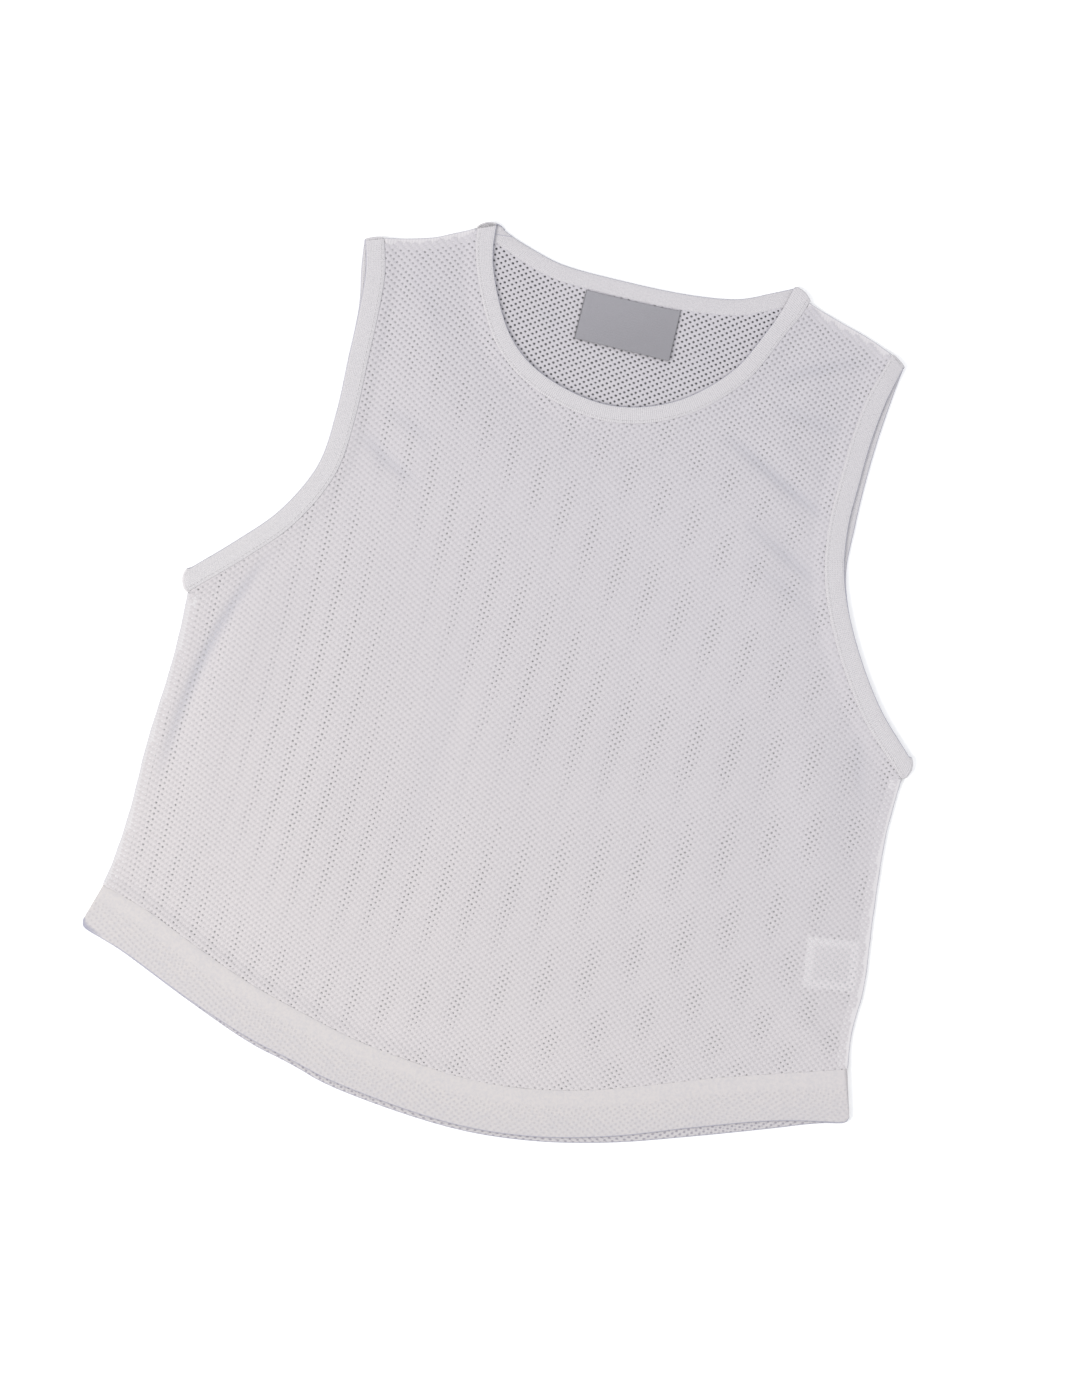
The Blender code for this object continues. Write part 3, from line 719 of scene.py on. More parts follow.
class Heights:
    """Heights of the front and back sheets over the surface."""

    def __init__(self, front, back):
        self.cover = outline(*front)
        self.rim = distance_field(closed(self.cover))
        self.sewn = {"front": self.sewn_edges(front), "back": self.sewn_edges(back)}
        self.back_rim = distance_field(closed(outline(*back)))

    def sewn_edges(self, edges):
        """Distances to the edges of a panel that strips are sewn on."""
        foot, right, top, left = edges
        throat = top[SHOULDER_STEPS:-SHOULDER_STEPS]
        lines = (foot, throat, right[SIDE_STEPS:], left[SIDE_STEPS:])
        return [distance_field(line) for line in lines]

    def beside_strip(self, layer, points):
        """1 at a sewn strip, 0 where the sheet is free of it."""
        away = np.min([edge(points) for edge in self.sewn[layer]], axis=0)
        return ease(1.0 - away / SEWN_REACH)

    def folds(self, points):
        """Height of the front's folds, which fade out towards its edges."""
        return fold_height(FOLDS + FRONT_CREASES, points) * ease(self.rim(points) / LIFT_REACH)

    def front_shades(self, points):
        """How deep each point of the front lies in a trough, and how far it is over the label: the
        amounts of its painted shade and painted glow.
        """
        trough = fold_height(FRONT_CREASES, points) * ease(self.rim(points) / CREASE_REACH)
        return np.column_stack((np.clip(-trough / TROUGH_DEPTH, 0.0, 1.0), over_the_label(points)))

    def back_shades(self, points):
        """How deep each point of the back lies in a trough, for its painted shade; nothing lies
        over it.
        """
        trough = np.clip(-self.back_folds(points) / TROUGH_DEPTH, 0.0, 1.0)
        return np.column_stack((trough, np.zeros(len(points))))

    def air(self, points):
        """How far the front's folds and the air under them lift it."""
        puff = PUFF_HEIGHT * ease(self.rim(points) / PUFF_REACH)
        return np.maximum(puff + self.folds(points), -SINK)

    def front(self, points):
        """Height of the front sheet."""
        rise = (FRONT_SEWN - FRONT_LAID) * self.beside_strip("front", points)
        return FRONT_LAID + rise + self.air(points) + care_label_lift(points)

    def back(self, points):
        """Height of the back sheet: close under the front, and dipping under its strips."""
        rise = (BACK_SEWN - BACK_LAID) * self.beside_strip("back", points)
        bare = BACK_LAID + rise + self.back_folds(points)
        dip = ease(1.0 - self.rim(points) / DIP_REACH)
        covered = np.where(inside(self.cover, points), 1.0, dip)
        above = ease((points[:, 1] - SHOULDER_GAP_FROM) / SHOULDER_GAP_REACH)
        gap = SHEET_GAP + (SHOULDER_GAP - SHEET_GAP) * above
        front = self.front(points) - care_label_lift(points)
        return bare + (front - gap - bare) * covered

    def back_folds(self, points):
        """Height of the back's own creases."""
        return fold_height(BACK_CREASES, points) * ease(self.back_rim(points) / LIFT_REACH)

    def middle(self, points):
        """Halfway between the two sheets."""
        return (self.front(points) + self.back(points)) / 2


def closed(line):
    """A line that ends where it starts."""
    return np.vstack((line, line[:1]))


def with_height(points, height):
    """Flat points raised to a height."""
    return np.column_stack((points, np.broadcast_to(height, len(points))))


# --- Meshes ---


def made_mesh(name, points, faces, maps, turned_out=False):
    """An object from points in millimetres, with smooth shading and UV maps by point."""
    mesh = bpy.data.meshes.new(name)
    mesh.from_pydata((np.asarray(points) * MM).tolist(), [], faces)
    for title, places in maps.items():
        corner = np.empty(len(mesh.loops), np.int32)
        mesh.loops.foreach_get("vertex_index", corner)
        layer = mesh.uv_layers.new(name=title)
        layer.uv.foreach_set("vector", np.asarray(places, np.float32)[corner].ravel())
    if turned_out:
        work = bmesh.new()
        work.from_mesh(mesh)
        bmesh.ops.recalc_face_normals(work, faces=work.faces)
        work.to_mesh(mesh)
        work.free()
    mesh.shade_smooth()
    made = bpy.data.objects.new(name, mesh)
    bpy.context.scene.collection.objects.link(made)
    return made


def dressed(piece, finish, slot, *nodes):
    """Gives a piece its finish and hides the solids it stands for; its slot is not used."""
    piece.data.materials.append(finish)
    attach(piece, "root")
    if nodes:
        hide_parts(*nodes)
    return piece


def net_steps(row_turn, column_lean):
    """The two diagonal steps from a hole to the next ones."""
    across = HOLE_ROW * np.array((math.cos(row_turn), math.sin(row_turn)))
    along = HOLE_COLUMN * np.array((math.sin(column_lean), math.cos(column_lean)))
    return (across + along) / 2, (across - along) / 2


def drift(points):
    """How far both nets have drifted from even rows at each point."""
    x, y = (points * 2.0 * math.pi / DRIFT_LENGTH).T
    across = np.sin(0.8 * y + 0.4) + 0.5 * np.sin(1.7 * x + 0.6 * y + 0.8)
    along = np.sin(x + 0.4 * y + 1.7) + 0.4 * np.sin(2.1 * y - 0.7 * x + 0.4)
    return DRIFT * np.stack((0.5 * across, along), axis=1)


def front_offset(points):
    """How far the front's net lies off even rows, the back's drift included."""
    x, y = (points / 100.0).T
    total = drift(points)
    for _, to_right, up, across, along in NET_OFFSETS:
        total += (x**to_right * y**up)[:, None] * np.array((across, along))
    return total


def net_places(even, offset):
    """Where the holes of a net lie that is off its even places by a rule."""
    places = even
    for _ in range(NET_ROUNDS):
        places = even + offset(places)
    return places


def knitted_sheet(name, reach, offset, height, shades, share, seed):
    """An open mesh of knit inside a closed line, with a real hole in each place of its net."""
    chance = np.random.default_rng(seed)
    places = np.arange(-NET_REACH, NET_REACH + 1)
    i, j = (n.astype(float) for n in np.meshgrid(places, places, indexing="ij"))
    steps = net_steps(BACK_ROW_TURN, BACK_COLUMN_LEAN)
    even = (i[..., None] * steps[0] + j[..., None] * steps[1]).reshape(-1, 2)
    flat = net_places(even, offset) + chance.normal(0.0, HOLE_SHIFT, even.shape)
    kept = inside(reach, flat).reshape(i.shape)
    number = np.full(i.shape, -1)
    number[kept] = np.arange(kept.sum())
    angle = np.arange(HOLE_CORNERS) * 2.0 * math.pi / HOLE_CORNERS
    round_it = np.stack((HOLE_HALF_WIDTH * np.cos(angle), HOLE_HALF_HEIGHT * np.sin(angle)), axis=1)
    round_it *= share
    size = 1.0 + chance.normal(0.0, HOLE_UNEVEN, (int(kept.sum()), 1, 2))
    corners = flat.reshape(*i.shape, 2)[kept][:, None] + round_it * size
    points = corners.reshape(-1, 2)
    cell = np.stack(((i + j) / 2, (i - j) / 2), axis=2)[kept][:, None]
    cell = cell + round_it / np.array((HOLE_ROW, HOLE_COLUMN))
    faces = strand_faces(number) + knot_faces(number)
    low, high = np.array(BAKE_BOX)
    maps = {
        "Cloth": cell.reshape(-1, 2),
        "Shade": shades(points),
        "OFBake": (points - low) / (high - low),
    }
    return made_mesh(name, with_height(points, height(points)), faces, maps)


def neighbour(number, step):
    """The numbers of the holes one step on, -1 where there is none."""
    moved = np.full(number.shape, -1)
    di, dj = step
    rows, columns = number.shape
    source = number[max(di, 0) : rows + min(di, 0), max(dj, 0) : columns + min(dj, 0)]
    moved[max(-di, 0) : rows + min(-di, 0), max(-dj, 0) : columns + min(-dj, 0)] = source
    return moved


def strand_faces(number):
    """The faces of yarn between each hole and the next ones."""
    faces = []
    for _, step, own, its in STRANDS:
        other = neighbour(number, step)
        both = (number >= 0) & (other >= 0)
        a, b = number[both] * HOLE_CORNERS, other[both] * HOLE_CORNERS
        faces += np.stack((a + own[0], b + its[0], b + its[1], a + own[1]), axis=1).tolist()
    return faces


def knot_faces(number):
    """The faces where three strands of yarn meet."""
    faces = []
    for _, own, first, first_corner, second, second_corner in KNOTS:
        one, two = neighbour(number, first), neighbour(number, second)
        all_three = (number >= 0) & (one >= 0) & (two >= 0)
        a, b, c = (n[all_three] * HOLE_CORNERS for n in (number, one, two))
        faces += np.stack((a + own, b + first_corner, c + second_corner), axis=1).tolist()
    return faces


def both_halves(half):
    """Across and through of a whole section, from its outer half."""
    outer = [(across, through) for _, across, through in half]
    inner = [(across, -through) for across, through in outer[-2:0:-1]]
    return np.array(outer + inner)


def tube(name, rings, along, across, closed_up):
    """A closed skin round the sections of a strip, with a map of along and across."""
    count, around = rings.shape[:2]
    faces = []
    turns = count if closed_up else count - 1
    for s in range(turns):
        t = (s + 1) % count
        for k in range(around):
            n = (k + 1) % around
            faces.append((s * around + k, s * around + n, t * around + n, t * around + k))
    if not closed_up:
        last = (count - 1) * around
        faces.append(tuple(reversed(range(around))))
        faces.append(tuple(range(last, last + around)))
    strip = np.stack(np.broadcast_arrays(along[:, None], across[None]), axis=2)
    flat = rings[..., :2]
    maps = {"Strip": strip.reshape(-1, 2), "Plan": flat.reshape(-1, 2)}
    return made_mesh(name, rings.reshape(-1, 3), faces, maps, turned_out=True)


def wave(along, lengths, height, phase):
    """A soft uneven wave along a strip."""
    total = sum(np.sin(2.0 * math.pi * along / n + phase * k) for k, n in enumerate(lengths, 1))
    return height * total / len(lengths)


class Tape:
    """A folded knit tape that runs round an opening, over and under the layers."""

    def __init__(self, front, back, bulges, phase):
        self.section = both_halves(TAPE_HALF)
        front = finer(np.hstack(front))
        back = finer(np.hstack(back))
        over = self.stretch(front, FRONT_TAPE_MID, UP, FRONT_TAPE_CLOTH)
        under = self.stretch(back, BACK_TAPE_MID, -UP, TAPE_WALL)
        stations = over + self.turn(front[-1], back[-1], front[-2], bulges[1])
        stations += under[::-1] + self.turn(front[0], back[0], front[1], bulges[0])[::-1]
        edges, heights, normals, shifts, walls = (np.array(part) for part in zip(*stations))
        free, seam = edges[:, :2], edges[:, 2:]
        self.along = lengths_along(closed((free + seam) / 2 + shifts))
        self.width = np.linalg.norm(seam - free, axis=1).mean()
        self.normals = normals
        across, through = self.section.T
        flat = free[:, None] + (seam - free)[:, None] * across[None, :, None]
        corner = (2.0 * across - 1.0) ** 2
        flat = flat + shifts[:, None] * (1.0 - TURN_CORNER_LOSS * corner)[None, :, None]
        unevenness = wave(self.along[:-1], TAPE_SWELL_LENGTHS, TAPE_SWELL, phase)
        swell = np.minimum(1.0 + unevenness, 1.0)
        lift = through[None] * (walls / 2 * swell)[:, None]
        raised = np.broadcast_to(heights[:, None, None], (*flat.shape[:2], 1))
        self.rings = np.concatenate((flat, raised), axis=2) + lift[..., None] * normals[:, None]

    def stretch(self, edges, height, normal, wall):
        """Stations along one layer: edges, height, outer side, bulge and thickness."""
        return [(e, height, normal, np.zeros(2), wall) for e in edges]

    def turn(self, front, back, before, bulge):
        """Stations where the tape turns over from the front layer to the back one."""
        free, seam = np.split((front + back) / 2, 2)
        line = seam - free
        out = np.array((-line[1], line[0])) / np.linalg.norm(line)
        if np.dot(out, before[:2] - free) > 0.0:
            out = -out
        middle = (FRONT_TAPE_MID + BACK_TAPE_MID) / 2
        radius = (FRONT_TAPE_MID - BACK_TAPE_MID) / 2
        found = []
        for angle in np.linspace(0.0, math.pi, TURN_STEPS + 1):
            side, up = math.sin(angle), math.cos(angle)
            edge = (front + back) / 2 + (front - back) / 2 * up
            shift = np.tile(out * radius * side, 2)
            normal = np.array((*(out * side), up))
            wall = (FRONT_TAPE_CLOTH + TAPE_WALL) / 2 + (FRONT_TAPE_CLOTH - TAPE_WALL) / 2 * up
            found.append((edge + shift, middle + radius * up, normal, out * bulge, wall))
        return found

    def piece(self, name):
        """The tape as an object."""
        across = self.section[:, 0] * self.width
        return tube(name, self.rings, self.along[:-1], across, True)

    def line(self, place):
        """A named line of the section along the tape, with the outward side of each point."""
        k = [r[0] for r in TAPE_HALF].index(place)
        return closed(self.rings[:, k]), closed(self.normals)

    def flat_size(self):
        """Width and length of the tape as it shows all round."""
        return self.width * MM, self.along[-1] * MM


class Hem:
    """A turned-up hem: a flat folded strip along the lower edge."""

    def __init__(self, hem, mid, wall, phase):
        self.section = both_halves(HEM_HALF)
        edges = finer(np.hstack(hem))
        low, high = edges[:, :2], edges[:, 2:]
        self.along = lengths_along(low)
        self.width = HEM_DEPTH
        across, through = self.section.T
        flat = low[:, None] + (high - low)[:, None] * across[None, :, None]
        swell = 1.0 - np.abs(wave(self.along, HEM_SWELL_LENGTHS, HEM_SWELL, phase))
        lift = mid + through[None] * wall / 2 * swell[:, None]
        self.rings = np.concatenate((flat, lift[..., None]), axis=2)

    def piece(self, name):
        """The hem as an object."""
        return tube(name, self.rings, self.along, self.section[:, 0] * self.width, False)

    def flat_size(self):
        """Width and length of the hem as it shows."""
        return self.along[-1] * MM, self.width * MM


def seam_band(name, line, side, middle_height):
    """A folded seam edge between the sheets: overlocked cloth with a thin roll outside."""
    line = finer(line)
    along = lengths_along(line)
    section = both_halves(SEAM_HALF)
    columns = []
    for within, off in section:
        wander = SEAM_WANDER * math.sin(within) * np.sin(along / SEAM_WANDER_LENGTH)
        flat = inward(line, side, within + wander[:, None])
        columns.append(with_height(flat, middle_height(flat) + off))
    return tube(name, np.stack(columns, axis=1), along, section[:, 0], False)


def stitches(name, lines, seed):
    """Rows of short raised stitches along lines, joined in one mesh."""
    chance = np.random.default_rng(seed)
    points, faces, places = [], [], []
    for line, normals in lines:
        along = lengths_along(line)
        starts = np.arange(STITCH_PITCH, along[-1] - STITCH_PITCH, STITCH_PITCH)
        starts = starts + chance.normal(0.0, STITCH_UNEVEN, len(starts))
        for start in starts:
            near = np.searchsorted(along, start)
            ends = [
                np.array([np.interp(s, along, line[:, c]) for c in range(3)])
                for s in (start, start + STITCH_LENGTH)
            ]
            way = (ends[1] - ends[0]) / np.linalg.norm(ends[1] - ends[0])
            out = normals[min(near, len(normals) - 1)]
            beside_it = np.cross(out, way) * STITCH_HALF_WIDTH
            first = len(points)
            narrow = beside_it * STITCH_END_SHARE
            points += [ends[0] - narrow, ends[0] + narrow]
            for share in STITCH_RIBS:
                middle = ends[0] + (ends[1] - ends[0]) * share
                arch = 1.0 - (2.0 * share - 1.0) ** 2 * STITCH_ARCH
                top = middle + out * STITCH_HEIGHT * arch
                points += [middle - beside_it, top, middle + beside_it]
            points += [ends[1] - narrow, ends[1] + narrow]
            a = first + 2
            faces += [(first, a, a + 1), (first, a + 1, first + 1), (first + 1, a + 1, a + 2)]
            for b in (a, a + 3):
                faces += [(b, b + 3, b + 4, b + 1), (b + 1, b + 4, b + 5, b + 2)]
            e, z = a + 6, a + 9
            faces += [(e, z, e + 1), (e + 1, z, z + 1), (e + 1, z + 1, e + 2)]
            places += [(start + k / 5, k / 10) for k in range(STITCH_POINTS)]
    return made_mesh(name, points, faces, {"Strip": places})


def slab(name, grid, mid, wall, size):
    """A thin slab of label cloth over a grid of flat points, with sharp cut edges."""
    rows, columns = grid.shape[:2]
    flat = grid.reshape(-1, 2)
    u, v = np.meshgrid(np.linspace(0, size[0], columns), np.linspace(0, size[1], rows))
    place = np.stack((u, v), axis=2).reshape(-1, 2)
    points = np.vstack((with_height(flat, mid + wall / 2), with_height(flat, mid - wall / 2)))
    under = rows * columns
    faces = []
    for r in range(rows - 1):
        for c in range(columns - 1):
            a = r * columns + c
            quad = (a, a + 1, a + 1 + columns, a + columns)
            faces.append(quad)
            faces.append(tuple(under + i for i in reversed(quad)))
    rim = list(range(columns))
    rim += [r * columns + columns - 1 for r in range(1, rows)]
    rim += [(rows - 1) * columns + c for c in range(columns - 2, -1, -1)]
    rim += [r * columns for r in range(rows - 2, 0, -1)]
    for a, b in zip(rim, rim[1:] + rim[:1]):
        faces.append((a, a + under, b + under, b))
    maps = {"Strip": np.vstack((place, place))}
    made = made_mesh(name, points, faces, maps, turned_out=True)
    made.data.set_sharp_from_angle(angle=LABEL_SHARP)
    return made


# --- Finishes ---


class Value:
    """A number on a shader socket, on which arithmetic makes Math nodes."""

    def __init__(self, finish, socket):
        self.finish = finish
        self.socket = socket

    def math(self, operation, *others):
        """A Math node on this number and any others."""
        inputs = dict(enumerate((self, *others)))
        return self.finish.add("ShaderNodeMath", {"operation": operation}, inputs)

    def __add__(self, other):
        return self.math("ADD", other)

    __radd__ = __add__

    def __mul__(self, other):
        return self.math("MULTIPLY", other)

    __rmul__ = __mul__

    def __sub__(self, other):
        return self.math("SUBTRACT", other)

    def __rsub__(self, other):
        inputs = {0: other, 1: self}
        return self.finish.add("ShaderNodeMath", {"operation": "SUBTRACT"}, inputs)

    def __truediv__(self, other):
        return self.math("DIVIDE", other)

    def __abs__(self):
        return self.math("ABSOLUTE")

    def cosine(self):
        return self.math("COSINE")

    def fraction(self):
        return self.math("FRACT")

    def least(self, other):
        return self.math("MINIMUM", other)

    def most(self, other):
        return self.math("MAXIMUM", other)

    def rise(self, low, high):
        """0 up to low, 1 from high, with a soft slope between."""
        settings = {"interpolation_type": "SMOOTHSTEP"}
        inputs = {"Value": self, "From Min": low, "From Max": high}
        return self.finish.add("ShaderNodeMapRange", settings, inputs)


# Sockets of a Mix node that hold its two colours and the mixed one
MIX_A = 6
MIX_B = 7
MIX_RESULT = 2

FULL_TURN = 2.0 * math.pi

# How shiny all the finishes are, and how much sheen the label satin has besides
SHINE = 0.25
SATIN_SHEEN = 0.1


class Finish:
    """The nodes of one material."""

    def __init__(self, name, roughness):
        self.material = bpy.data.materials.new(name)
        self.material.use_nodes = True
        self.tree = self.material.node_tree
        self.cloth = self.tree.nodes["Principled BSDF"]
        self.cloth.inputs["Roughness"].default_value = roughness
        self.cloth.inputs["Specular IOR Level"].default_value = SHINE

    def feed(self, socket, value):
        """Sets a socket, or links another one to it."""
        if isinstance(value, Value):
            self.tree.links.new(value.socket, socket)
        elif socket.type == "RGBA":
            socket.default_value = (*value, 1.0)
        else:
            socket.default_value = value

    def add(self, kind, settings=None, inputs=None, output=0):
        """Adds a node: its settings first, then its sockets. Gives one of its outputs."""
        made = self.tree.nodes.new(kind)
        for name, value in (settings or {}).items():
            setattr(made, name, value)
        for name, value in (inputs or {}).items():
            self.feed(made.inputs[name], value)
        return Value(self, made.outputs[output])

    def apart(self, vector):
        """The first two numbers of a vector."""
        x = self.add("ShaderNodeSeparateXYZ", {}, {0: vector})
        return x, Value(self, x.socket.node.outputs[1])

    def map(self, name):
        """The two numbers of a UV map."""
        return self.apart(self.add("ShaderNodeUVMap", {"uv_map": name}))

    def place(self, scale=(1.0, 1.0, 1.0)):
        """Where a point of the piece is, stretched along each axis."""
        at = self.add("ShaderNodeTexCoord", output="Object")
        return self.add("ShaderNodeVectorMath", {"operation": "MULTIPLY"}, {0: at, 1: scale})

    def noise(self, where, scale, detail=2.0):
        """Soft uneven noise between 0 and 1."""
        inputs = {"Vector": where, "Scale": scale, "Detail": detail}
        return self.add("ShaderNodeTexNoise", {}, inputs)

    def blend(self, amount, first, second):
        """The second colour over the first one, by the amount."""
        inputs = {0: amount, MIX_A: first, MIX_B: second}
        return self.add("ShaderNodeMix", {"data_type": "RGBA"}, inputs, MIX_RESULT)

    def done(self, colour, height, depth, strength=1.0):
        """Links the colour and the raised detail, whose full height is depth in metres."""
        self.feed(self.cloth.inputs["Base Color"], colour)
        inputs = {"Strength": strength, "Distance": depth, "Height": height}
        self.feed(self.cloth.inputs["Normal"], self.add("ShaderNodeBump", {}, inputs))
        return self.material


# Colours of the cloth, with painted light: warmer at the lower left, cooler at the upper right
CLOTH_WARM = (0.632, 0.598, 0.600)
CLOTH_COOL = (0.582, 0.560, 0.590)
TAPE_WARM = (0.676, 0.655, 0.660)
TAPE_COOL = (0.632, 0.610, 0.630)
HEM_WARM = (0.606, 0.574, 0.566)
HEM_COOL = (0.622, 0.590, 0.606)

# Colours that are blended over them: darker tones of the yarn and the knit, painted shade that
# dims the back and lies in holes, troughs, folds and at the hems' foot, a dark line at the neck
# tape's join, and painted glow over the care label
# Random tone of the yarn, and painted shade that dims the back
YARN_TONE_AND_SHADE = (0.45, 0.44, 0.48)
KNIT_SHADE = (0.50, 0.49, 0.52)
FOOT_SHADE = (0.44, 0.44, 0.50)
# Painted shade in and around the holes, also the colour of the yarn's random fuzz
HOLE_SHADE_AND_FUZZ = (0.34, 0.32, 0.36)
TROUGH_SHADE = (0.36, 0.37, 0.43)
# Painted shade along folds and edges, also the dark line at the neck tape's join
EDGE_SHADE_AND_JOIN = (0.34, 0.34, 0.42)
LABEL_GLOW = (0.85, 0.82, 0.83)

# Other colours: the two that a finish lies between, and the three of each label
THREAD = ((0.66, 0.635, 0.645), (0.56, 0.55, 0.58))
# Painted shade: greys of the sheet under the neck opening, seen through the holes of the back
SHADE_SHEET = ((0.30, 0.30, 0.31), (0.33, 0.33, 0.345))
FLOOR = ((0.95, 0.95, 0.95), (0.965, 0.965, 0.965))
GREY_SATIN = {"light": (0.43, 0.42, 0.455), "dark": (0.38, 0.37, 0.40), "edge": (0.13, 0.13, 0.14)}
WHITE_SATIN = {"light": (0.90, 0.89, 0.90), "dark": (0.60, 0.59, 0.62), "edge": (0.8, 0.8, 0.8)}

# Fineness of each finish's fuzz: about how often it changes in a metre
YARN_FUZZ = 2600.0
TAPE_FUZZ = 720.0
HEM_FUZZ = 620.0
SEAM_FUZZ = 1300.0
SATIN_FUZZ = 900.0

# Depth of each finish's raised detail, in metres
KNIT_RELIEF = 0.0003
SEAM_RELIEF = 0.0002
SATIN_RELIEF = 0.00015
FINE_RELIEF = 0.0001
PAPER_STRENGTH = 0.1

# Length and width of the tape's knitted loops
TAPE_COURSE = 1.25
TAPE_WALE = 1.05

# The join of the neck tape: how far before the tape's end it lies, and how far it slants
TAPE_JOIN_BEFORE_END = 17.0
TAPE_JOIN_SLANT = 7.0

# Where the hem's plain overlocked edge begins and is full, up from its fold
OVERLOCK_FROM = 17.5
OVERLOCK_FULL = 22.0

# Width of the care label's turned rim, and a width that leaves the grey label without one
WHITE_RIM = 4.5
NO_RIM = 60.0


def painted_light_across(finish):
    """Painted light across the garment: 0 at its lower left, 1 at its upper right."""
    x, y = finish.apart(finish.place())
    return (x * 0.8 + y * 1.6 + 0.5).rise(-0.05, 1.05)


def holes(u, v):
    """1 at the middle of each hole of the net, -1 between two holes."""
    return (u * FULL_TURN).cosine() * (v * FULL_TURN).cosine()


def mesh_finish(name, hole_shade_share, painted_dimming):
    """Knitted mesh yarn: painted shade where it turns down into the holes and in troughs, painted
    light across it, fuzzy, slightly uneven.
    """
    f = Finish(name, 0.82)
    u, v = f.map("Cloth")
    cell = holes(u, v)
    fuzz = f.noise(f.place(), YARN_FUZZ, 3.0)
    wales = f.noise(f.place((1.0, 0.12, 1.0)), 420.0, 1.0)
    patches = f.noise(f.place(), 14.0, 2.0)
    # Painted light: warmer at the lower left, cooler at the upper right
    base = f.blend(painted_light_across(f), CLOTH_WARM, CLOTH_COOL)
    # Random patches and wales, and painted shade that dims the back sheet
    base = f.blend(patches * 0.12 + wales * 0.1 + painted_dimming, base, YARN_TONE_AND_SHADE)
    trough, over_label = f.map("Shade")
    # Painted shade in the troughs, and painted glow over the care label
    base = f.blend(trough * 0.42, base, TROUGH_SHADE)
    base = f.blend(over_label * 0.2, base, LABEL_GLOW)
    # Painted shade at the rims of the holes, less over the label, and random fuzz
    rim = cell.rise(0.0, 0.5) * (1.0 - over_label) * hole_shade_share
    colour = f.blend(rim + (fuzz - 0.5) * 0.12, base, HOLE_SHADE_AND_FUZZ)
    height = (1.0 - cell.rise(-0.9, 0.5)) * 0.8 + fuzz * 0.3
    return f.done(colour, height, KNIT_RELIEF)


def rib(along, across):
    """Rows of small knitted loops along a tape."""
    bend = abs((across / TAPE_WALE).fraction() - 0.5)
    loops = ((along / TAPE_COURSE + bend * 0.9) * FULL_TURN).cosine()
    ridges = (across / TAPE_WALE * FULL_TURN).cosine()
    return loops * 0.5 - ridges * 0.35


def tape_finish(name, width, join=None, soft_end=None):
    """Fine knit tape: painted bluish shade at its fold, fainter at one end, and a dark line at a
    join.
    """
    f = Finish(name, 0.8)
    along, across = f.map("Strip")
    loops = rib(along, across)
    fuzz = f.noise(f.place(), TAPE_FUZZ, 3.0)
    patches = f.noise(f.place(), 22.0, 2.0)
    # Painted light: warmer at the lower left, cooler at the upper right
    base = f.blend(painted_light_across(f), TAPE_WARM, TAPE_COOL)
    base = f.blend(patches * 0.14 + (fuzz - 0.45) * 1.1 + loops * 0.06, base, KNIT_SHADE)
    # Painted shade along the fold at the tape's free edge, fainter near the soft end
    fold = 1.0 - across.rise(0.0, 0.7)
    if soft_end is not None:
        fold = fold * (abs(along - soft_end).rise(4.0, 20.0) * 0.8 + 0.2)
    if join is not None:
        slant = along - join - across * (TAPE_JOIN_SLANT / width)
        base = f.blend((1.0 - abs(slant).rise(0.2, 0.8)) * 0.7, base, EDGE_SHADE_AND_JOIN)
    colour = f.blend(fold * 0.85, base, EDGE_SHADE_AND_JOIN)
    return f.done(colour, loops * 0.5 + fuzz * 0.5, KNIT_RELIEF)


def hem_finish(name, dots, low_shade):
    """Mesh turned up and doubled: painted shade in faint filled holes below a plain overlocked
    edge, and at its foot and fold.
    """
    f = Finish(name, 0.82)
    along, across = f.map("Strip")
    x, y = f.map("Plan")
    turn, lean = FRONT_ROW_TURN, FRONT_COLUMN_LEAN
    skew = math.cos(turn - lean)
    row = (x * math.cos(lean) - y * math.sin(lean)) / (HOLE_ROW * skew)
    column = (y * math.cos(turn) - x * math.sin(turn)) / (HOLE_COLUMN * skew)
    outer = holes(row, column).rise(0.15, 0.85)
    inner = holes(row + column * 0.06 + 0.3, column - row * 0.04).rise(0.3, 0.9)
    fuzz = f.noise(f.place(), HEM_FUZZ, 3.0)
    patches = f.noise(f.place(), 20.0, 2.0)
    below = 1.0 - across.rise(OVERLOCK_FROM, OVERLOCK_FULL)
    # Painted light: warmer at the lower left, cooler at the upper right
    base = f.blend(painted_light_across(f), HEM_WARM, HEM_COOL)
    base = f.blend(patches * 0.12 + (fuzz - 0.42) * 1.5, base, KNIT_SHADE)
    # Painted shade towards the hem's foot
    base = f.blend((1.0 - across.rise(0.0, 20.0)) * low_shade, base, FOOT_SHADE)
    # Painted shade in the filled holes below the overlock
    base = f.blend(below * (outer * dots + inner * dots * 0.45), base, HOLE_SHADE_AND_FUZZ)
    # Painted shade along the fold, and at the left end of the foot
    fold = 1.0 - across.rise(0.1, 0.9)
    foot = (1.0 - along.rise(6.0, 20.0)) * (1.0 - across.rise(1.4, 3.6))
    colour = f.blend(fold * 0.85 + foot * 0.8, base, EDGE_SHADE_AND_JOIN)
    height = fuzz * 0.4 - below * outer * 0.5
    return f.done(colour, height, KNIT_RELIEF)


